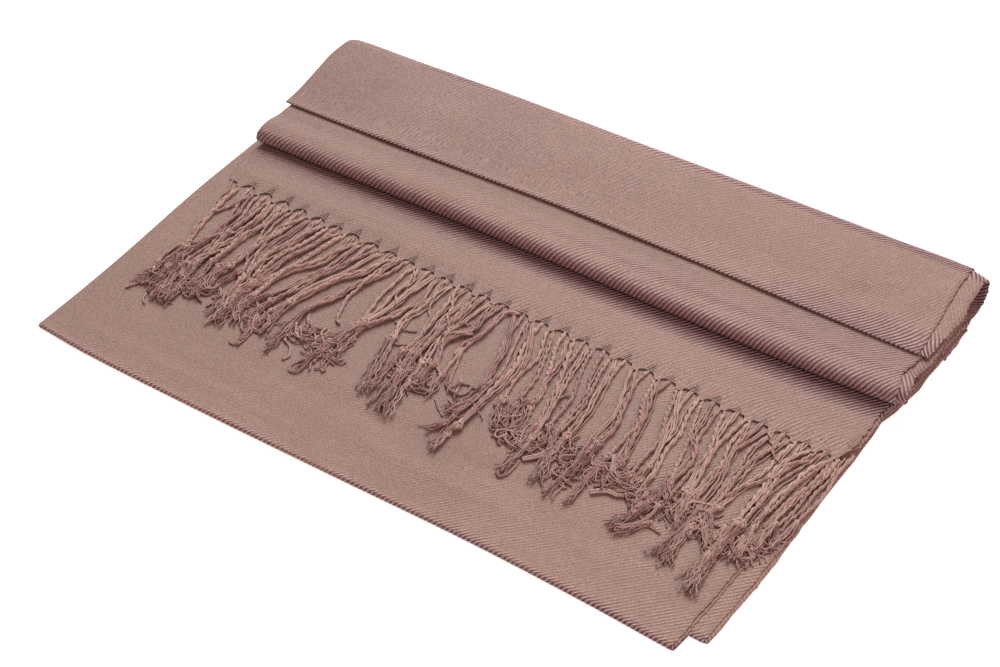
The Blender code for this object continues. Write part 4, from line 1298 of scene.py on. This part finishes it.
# %% Strays and loops
LOOSE = (
    ("yarn", 0.45, 1.05, 12.95, 1.25, 12.5, 1.4, 12.1, 1.35, 11.7, 1.55, 11.2),
    ("cord", 0.62, 3, 5.2, 2.5, 5.05, 2.1, 4.85, 1.9, 4.6, 1.68, 4.22),
    ("yarn", 0.5, 4.1, 6, 4.25, 5.4, 4.6, 5.3, 4.8, 5.6, 4.6, 5.9, 4.3, 5.7),
    ("yarn", 0.55, 5, 6.9, 5.5, 6.6, 5.8, 6.2, 5.55, 5.9),
    ("yarn", 0.55, 7.6, 6, 7.75, 5.4, 8.1, 5, 8.45, 5.2, 8.55, 5.8, 8.3, 6.1),
    ("yarn", 0.5, 7.3, 6.9, 7.9, 6.5, 8.1, 6, 8.7, 6.2, 9, 6.6),
    ("yarn", 0.5, 8.5, 5, 8.55, 4.4, 8.3, 4.05, 8.05, 4.1),
    ("yarn", 0.6, 10, 7.5, 10.4, 6.9, 10.45, 6.4, 10.1, 5.9, 10, 5.6, 10.5, 5.4, 10.9, 4.9, 10.8, 4.5),
    ("yarn", 0.5, 11, 7.2, 10.8, 6.4, 10.95, 5.9, 11.3, 5.6),
    ("yarn", 0.5, 11.9, 5.3, 11.55, 4.9, 11.35, 4.45, 11.55, 4.1, 11.85, 4.3, 11.9, 4.8),
    ("cord", 0.9, 13.6, 10.3, 13.5, 9.5, 13.1, 8.95, 12.7, 8.4, 12.25, 8.05),
    ("yarn", 0.45, 13.6, 9.3, 14, 9.05, 14.5, 9.12, 14.8, 9.3),
    ("yarn", 0.45, 13.9, 9, 14.05, 8.3, 14.5, 8.1, 14.95, 8.35),
    ("yarn", 0.55, 15.9, 10.2, 16.15, 10.7, 16.6, 10.95, 16.95, 10.7, 16.7, 10.35, 16.2, 10.1),
    ("cord", 0.8, 16, 9.6, 16.25, 9.95, 16.6, 10.15, 17.05, 10.5),
    ("yarn", 0.6, 17.3, 9.3, 17.6, 8.4, 17.85, 7.7, 18.2, 7.15, 18.65, 7, 18.95, 7.35, 18.85, 7.8, 18.4,
     7.7),
    ("yarn", 0.45, 18.85, 7.8, 19.1, 7.75, 19.4, 7.9),
    ("yarn", 0.45, 16.05, 6.05, 16.7, 6.1, 17.3, 6.4),
    ("yarn", 0.5, 18, 6.3, 18.4, 5.95, 18.9, 5.6),
    ("yarn", 0.55, 22.6, 9.1, 22.7, 9.6, 23.05, 9.65, 23.1, 9.2, 22.95, 8.8),
    ("yarn", 0.55, 22.6, 5.3, 22.7, 4.5, 23, 4, 23.25, 4.5, 23.2, 5.3),
    ("cord", 0.75, 24.1, 6.95, 23.65, 6.65, 23.35, 6.15, 23.1, 5.95),
    ("yarn", 0.6, 25.4, 7.6, 25.65, 7.1, 25.3, 6.6, 25.45, 6.2),
    ("lock", 2, 26.5, 7.7, 26.9, 7, 27.5, 6.6, 28.2, 6.9),
    ("yarn", 0.85, 26.7, 5.8, 27.2, 6.1, 27.8, 6.15, 28.15, 6.5, 28.3, 6.95),
    ("yarn", 0.6, 28.4, 6.2, 29, 5.6, 29.8, 5.2, 30.5, 5.1),
    ("lock", 1.4, 29.9, 5.4, 29.3, 4.7, 28.5, 4.05),
    ("lock", 3.2, 29.1, 8.1, 29.4, 7.2, 29.9, 6.4),
    ("yarn", 0.55, 30.2, 8, 30.7, 7.7, 31, 7.2, 30.8, 6.7),
    ("yarn", 1.1, 31.35, 6.1, 31.5, 5.8, 31.6, 5.5),
    ("lock", 2.6, 31.3, 5.9, 31.4, 4.8, 31.3, 3.7),
    ("lock", 4.2, 32.6, 6.9, 32.6, 6, 32.6, 5.2),
    ("lock", 4.2, 33.5, 6.8, 33.6, 6, 33.6, 5.2),
    ("lock", 2.6, 32.8, 5.2, 33, 4.1, 33.3, 2.8),
    ("cord", 0.95, 31.25, 12.75, 31.5, 12.3, 31.9, 11.9, 32.25, 11.5, 32.6, 11.25),
    ("yarn", 0.45, 31.4, 12.9, 31.45, 13.3, 31.75, 13.45, 32, 13.2, 32.1, 12.9),
    ("cord", 0.95, 33.6, 12, 33.05, 11.3, 32.9, 10.5, 32.3, 9.5, 31.9, 8.8, 31.7, 8.2),
    ("cord", 0.95, 34.95, 13.55, 34.98, 12.35, 35.02, 10.94, 35, 9.68, 34.94, 8.6),
    ("cord", 0.95, 34.78, 13.2, 34.8, 12, 34.78, 10.6, 34.7, 9.3, 34.62, 8),
    ("cord", 0.95, 34.6, 12.95, 34.58, 11.7, 34.52, 10.2, 34.4, 8.9, 34.28, 7.9),
    ("cord", 0.95, 34.44, 12.75, 34.34, 11.5, 34.2, 10, 34.06, 8.7, 33.93, 7.6),
    ("cord", 0.9, 34.28, 12.7, 34.09, 11.55, 33.85, 10.09, 33.65, 8.72, 33.49, 7.55),
    ("cord", 0.8, 2.5, 12.56, 2.37, 11.82, 2.13, 10.96, 1.77, 10.25, 1.8, 9.54, 2.13, 8.69),
    ("cord", 0.85, 3.77, 12.4, 3.94, 11.52, 3.84, 10.66, 3.57, 9.85, 3.16, 9.21, 2.81, 8.68, 2.12, 8.06,
     1.91, 7.37, 1.9, 6.6, 2.08, 5.68),
    ("cord", 0.85, 4.44, 12.56, 4.52, 11.62, 4.85, 10.39, 5.11, 9.41, 5.46, 8.5, 5.82, 7.81),
    ("cord", 0.8, 5.69, 12.64, 5.53, 11.84, 5.25, 11.21, 5.24, 10.56, 5.47, 9.62, 5.71, 8.67, 5.96,
     7.91),
    ("cord", 0.85, 6.81, 12.63, 6.61, 11.8, 6.5, 10.95, 6.38, 10.1, 6.18, 9.38, 6.23, 8.66, 6.34, 7.89),
    ("cord", 0.8, 4.31, 10.4, 4.11, 9.68, 3.92, 8.77, 3.8, 8.11, 3.4, 7.64, 3.29, 7.15),
    ("cord", 0.85, 14.54, 12.83, 14.92, 12.03, 15.41, 10.96, 16.11, 9.79, 16.51, 8.72, 17.22, 7.6),
    ("cord", 0.7, 14, 12.6, 13.96, 12, 14.35, 11.07, 14.86, 10.03, 15.24, 9.19),
    ("cord", 0.85, 18.12, 12.85, 17.51, 12.54, 17.28, 12.06, 17.46, 11.28, 17.47, 10.47, 17.05, 9.77,
     17.13, 8.88),
    ("cord", 0.8, 18.66, 12.47, 18.83, 11.42, 19.22, 10.33, 19.6, 9.26, 19.49, 8.12),
    ("cord", 0.75, 12.16, 12.76, 12.7, 11.76, 12.61, 10.71, 13.03, 10.01),
    ("cord", 0.85, 11.27, 12.79, 11.01, 11.96, 10.86, 10.49, 10.94, 8.98, 11.19, 8.03, 11.63, 7.71),
    ("band", 0.36, 23.3, 5.35, 23.77, 5.95, 24.05, 6.51, 24.35, 6.95),
    ("band", 0.36, 26.8, 5.35, 27.32, 5.84, 27.93, 5.9, 28.45, 6.35),
    ("band", 0.34, 29, 5.3, 29.11, 6.01, 29.4, 6.6),
    ("lock", 2.2, 34.94, 8.8, 34.85, 7.9, 34.65, 6.9),
    ("lock", 2.4, 34.3, 8.2, 34.2, 7.2, 34.05, 6.2),
)
TANGLES = (   # middle in cm, half width in mm, number of yarns
    (2.7, 6.5, 9, 19), (3.3, 5.2, 7, 19), (4.4, 6.4, 6, 16), (5.3, 6.3, 4, 8), (6.8, 6.9, 7, 17),
    (8.2, 5.9, 6, 17), (10.2, 6.5, 6, 14), (11.7, 6.6, 8, 19), (12.3, 5.8, 5, 12), (15.6, 7.3, 7, 20),
    (16.6, 6.8, 6, 16), (18.2, 7.5, 4, 6), (19.5, 6.6, 4, 9), (21.3, 7.5, 7, 17), (22.1, 6.3, 5, 16),
    (22.9, 6.6, 5, 11), (24.2, 7.1, 7, 17), (25.2, 5.9, 6, 16), (26.2, 6.6, 5, 12), (27.2, 6.9, 7, 19),
    (28.8, 6.4, 7, 19), (30.1, 6.7, 7, 19), (31.6, 6.6, 7, 20), (32.8, 6.0, 8, 20), (34.0, 6.4, 6, 19),
    (34.2, 7.4, 4, 9),
)
for kind, size, *numbers in LOOSE:
    points = np.array(numbers).reshape(-1, 2) * CM
    way = smooth_way(points, 1.0 * MM)
    if kind == "lock":
        lock(tufts, smooth_way(points, 1.4 * MM), None, STRAY_YARNS, size * MM, rng.normal(0.1, 0.1))
    elif kind == "band":
        z = lie_down(way, 0.8 * MM, 3, press=0.4)
        side = beside(np.column_stack([way, z]))[0]
        for k in range(6):
            spread = (k - 2.5) * (0.42 + 0.10 * np.sin(np.arange(len(way)) * 0.4 + k)) * MM
            line = np.column_stack([way, z + 0.25 * MM * (k % 2)]) + side * spread[:, None]
            # painted highlight: the bands on top are drawn lighter
            tufts.tube(line, size * MM, 5, 0.35 + rng.normal(0, 0.1))
    elif kind == "cord":
        way[:, 0] += 0.6 * MM * np.sin(np.arange(len(way)) * rng.uniform(0.15, 0.45) + rng.uniform(0, 6))
        line = np.column_stack([way, lie_down(way, size * MM, 1, press=0.4)])
        twisted_cord(tufts, line, rng.normal(0.0, 0.1), size)
    else:
        line = np.column_stack([way, lie_down(way, size * MM, 1, press=0.4)])
        side = beside(line)[0]
        for k in range(3):
            wave = 0.7 * size * MM * np.sin(length_along(line) / (3.2 * MM) + 2.1 * k)
            tufts.tube(line + side * wave[:, None], size * MM * 0.6, 4, rng.normal(0.0, 0.15))

snarls = Threads()
# tangles are drawn darker than the cords: painted shade among the loose yarns
for x, y, half_width, yarns in TANGLES:
    tangle(snarls, np.array([x, y]) * CM, half_width * MM, yarns, -0.25)
fringe_tangles = snarls.piece("fringe_tangles")
fringe_under_cords = under_cords.piece("fringe_under_cords")
fringe_upper_cords = upper_cords.piece("fringe_upper_cords")
fringe_tufts = tufts.piece("fringe_tufts")
print("height of the fringe, mm:", round(1000 * (np.concatenate(tufts.points)[:, 2].max()), 1))

# %% [markdown]
# ## Yarn
#
# The yarns get their fibres from the same trick as the twill: a sine of the length along each ply and
# the angle round it. The mesh also tells how light each cord is, and paints shade on its underside.

# %% Yarn
YARN_TWIST = 1.4 * MM


def yarn_material(name, light, dark):
    """Spun yarn: fine fibres that wind along each ply, tones from cord to cord, and painted shade
    underneath.
    """
    paint, tree, shader = new_material(name)
    ply = wire(tree, "ShaderNodeAttribute", attribute_name="ply").outputs["Vector"]
    along, around, shade = wire(tree, "ShaderNodeSeparateXYZ", {0: ply}).outputs
    wind = scaled(along, 2 * math.pi / YARN_TWIST, times(around, 3.0))
    fibre = scaled(calc("SINE", wind), 0.5, 0.5)
    place = wire(tree, "ShaderNodeTexCoord").outputs["Object"]
    fluff = noise(place, 1600.0, 3.0)
    height = scaled(fluff, 0.6, times(fibre, 0.8))
    bump = wire(tree, "ShaderNodeBump", {"Height": height, "Distance": 0.12 * MM, "Strength": 1.0})
    share = scaled(fluff, 0.7, times(noise(place, 160.0, 2.0), 0.5))
    share = scaled(shade, 0.5, minus(scaled(fibre, 0.5, share), 0.26))
    feed(tree, shader, {
        "Normal": bump.outputs[0], "Base Color": mixed(share, dark, light), "Roughness": 0.7,
        "Specular IOR Level": 0.3, "Sheen Weight": 0.10, "Sheen Roughness": 0.5,
        "Sheen Tint": (0.95, 0.82, 0.80, 1)})
    return paint


# the dark colour is also the painted shade on undersides, locks and tangles
yarn_paint = yarn_material("mauve_yarn", (0.455, 0.350, 0.284), (0.150, 0.062, 0.056))
print("yarn nodes:", len(yarn_paint.node_tree.nodes))

# %% [markdown]
# ## The hidden layers
#
# Between the nested fold and the middle fold lie the shawl's other folds. Only their ends show, in the
# dark openings at the sides, so they are made as two flat folds and a single leaf.

# %% The inner layers
INNER_REACH = (34.60, 35.00, 34.40, 34.85, 34.50)
INNER_FRONT = 19.5 * CM
INNER_BACK = 24.1 * CM


def inner_fold(low, high):
    """A flat fold whose bend faces back, between two heights."""
    turn_y, turn_z, rise = INNER_BACK - (high - low) / 2, (low + high) / 2, (high - low) / 2
    flat = 0 * ACROSS
    line = level_leg(INNER_FRONT, turn_y, low, 8)
    line += half_turn(turn_y + flat, turn_z + flat, rise, rise, 270, 4)
    return line + level_leg(turn_y, INNER_FRONT, high, 8) + end_point(INNER_FRONT, high)


inner_bottom = NESTED_Z + 2 * PITCH + LEAF / 2
inner_top = ROLL_TOP - LEAF - GAP - LEAF / 2
inner_step = (inner_top - inner_bottom) / (len(INNER_REACH) - 1)
inner_cloths, inner_paths = [], []
for i in (0, 2):
    low = inner_bottom + i * inner_step
    here, after = INNER_REACH[i:i + 2]
    reach = (EDGE_COLUMNS, (19.0, 0.5, here, here + 0.2), (24.5, 0.5, after, after + 0.2))
    inner_paths.append(inner_fold(low, low + inner_step))
    inner_cloths.append(leaf_piece(f"inner_cloth_{i}", inner_paths[-1], reach, 40, 21 + i))
here = INNER_REACH[4]
reach = (EDGE_COLUMNS, (19.0, 0.5, here, here + 0.15), (24.5, 0.5, here - 0.1, here + 0.2))
inner_paths.append(level_leg(INNER_FRONT, INNER_BACK, inner_top, 8))
inner_cloths.append(leaf_piece("inner_cloth_4", inner_paths[-1], reach, 40, 29))

# %% [markdown]
# ## What each piece is
#
# A leaf is a share of the one shawl: both its halves together are 70 cm wide, and its length is the
# length of its path. Every piece then gets its finish, and takes the place of the plain CAD wall that
# it was laid round.


fringe = (fringe_under_cords, fringe_upper_cords, fringe_tufts, fringe_tangles)
leaves = (   # piece, its path, the CAD node that it replaces, what it lies on, what hangs on it
    (front_cloth, front_path(), "front_fold", [], []),
    (nested_cloth, nested_path(), "nested_fold", [front_cloth], []),
    (middle_cloth, middle_path(), "middle_fold", [inner_cloths[2], fringed_cloth], []),
    (top_cloth, top_path(), "top_fold", [middle_cloth], []),
    (fringed_cloth, fringed_path(), "fringed_end", [front_cloth], fringe),
    (inner_cloths[0], inner_paths[0], "inner_layers", [nested_cloth], []),
    (inner_cloths[1], inner_paths[1], None, [inner_cloths[0]], []),
    (inner_cloths[2], inner_paths[2], None, [inner_cloths[1]], []),
)
for piece, path, node, carried_by, on_it in leaves:
    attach(piece, "root")
    piece.data.materials.append(twill_paint)
    if node:
        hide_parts(node)
for piece in fringe:
    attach(piece, "root")
    piece.data.materials.append(yarn_paint)
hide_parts("fringe_under")
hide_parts("fringe_upper")
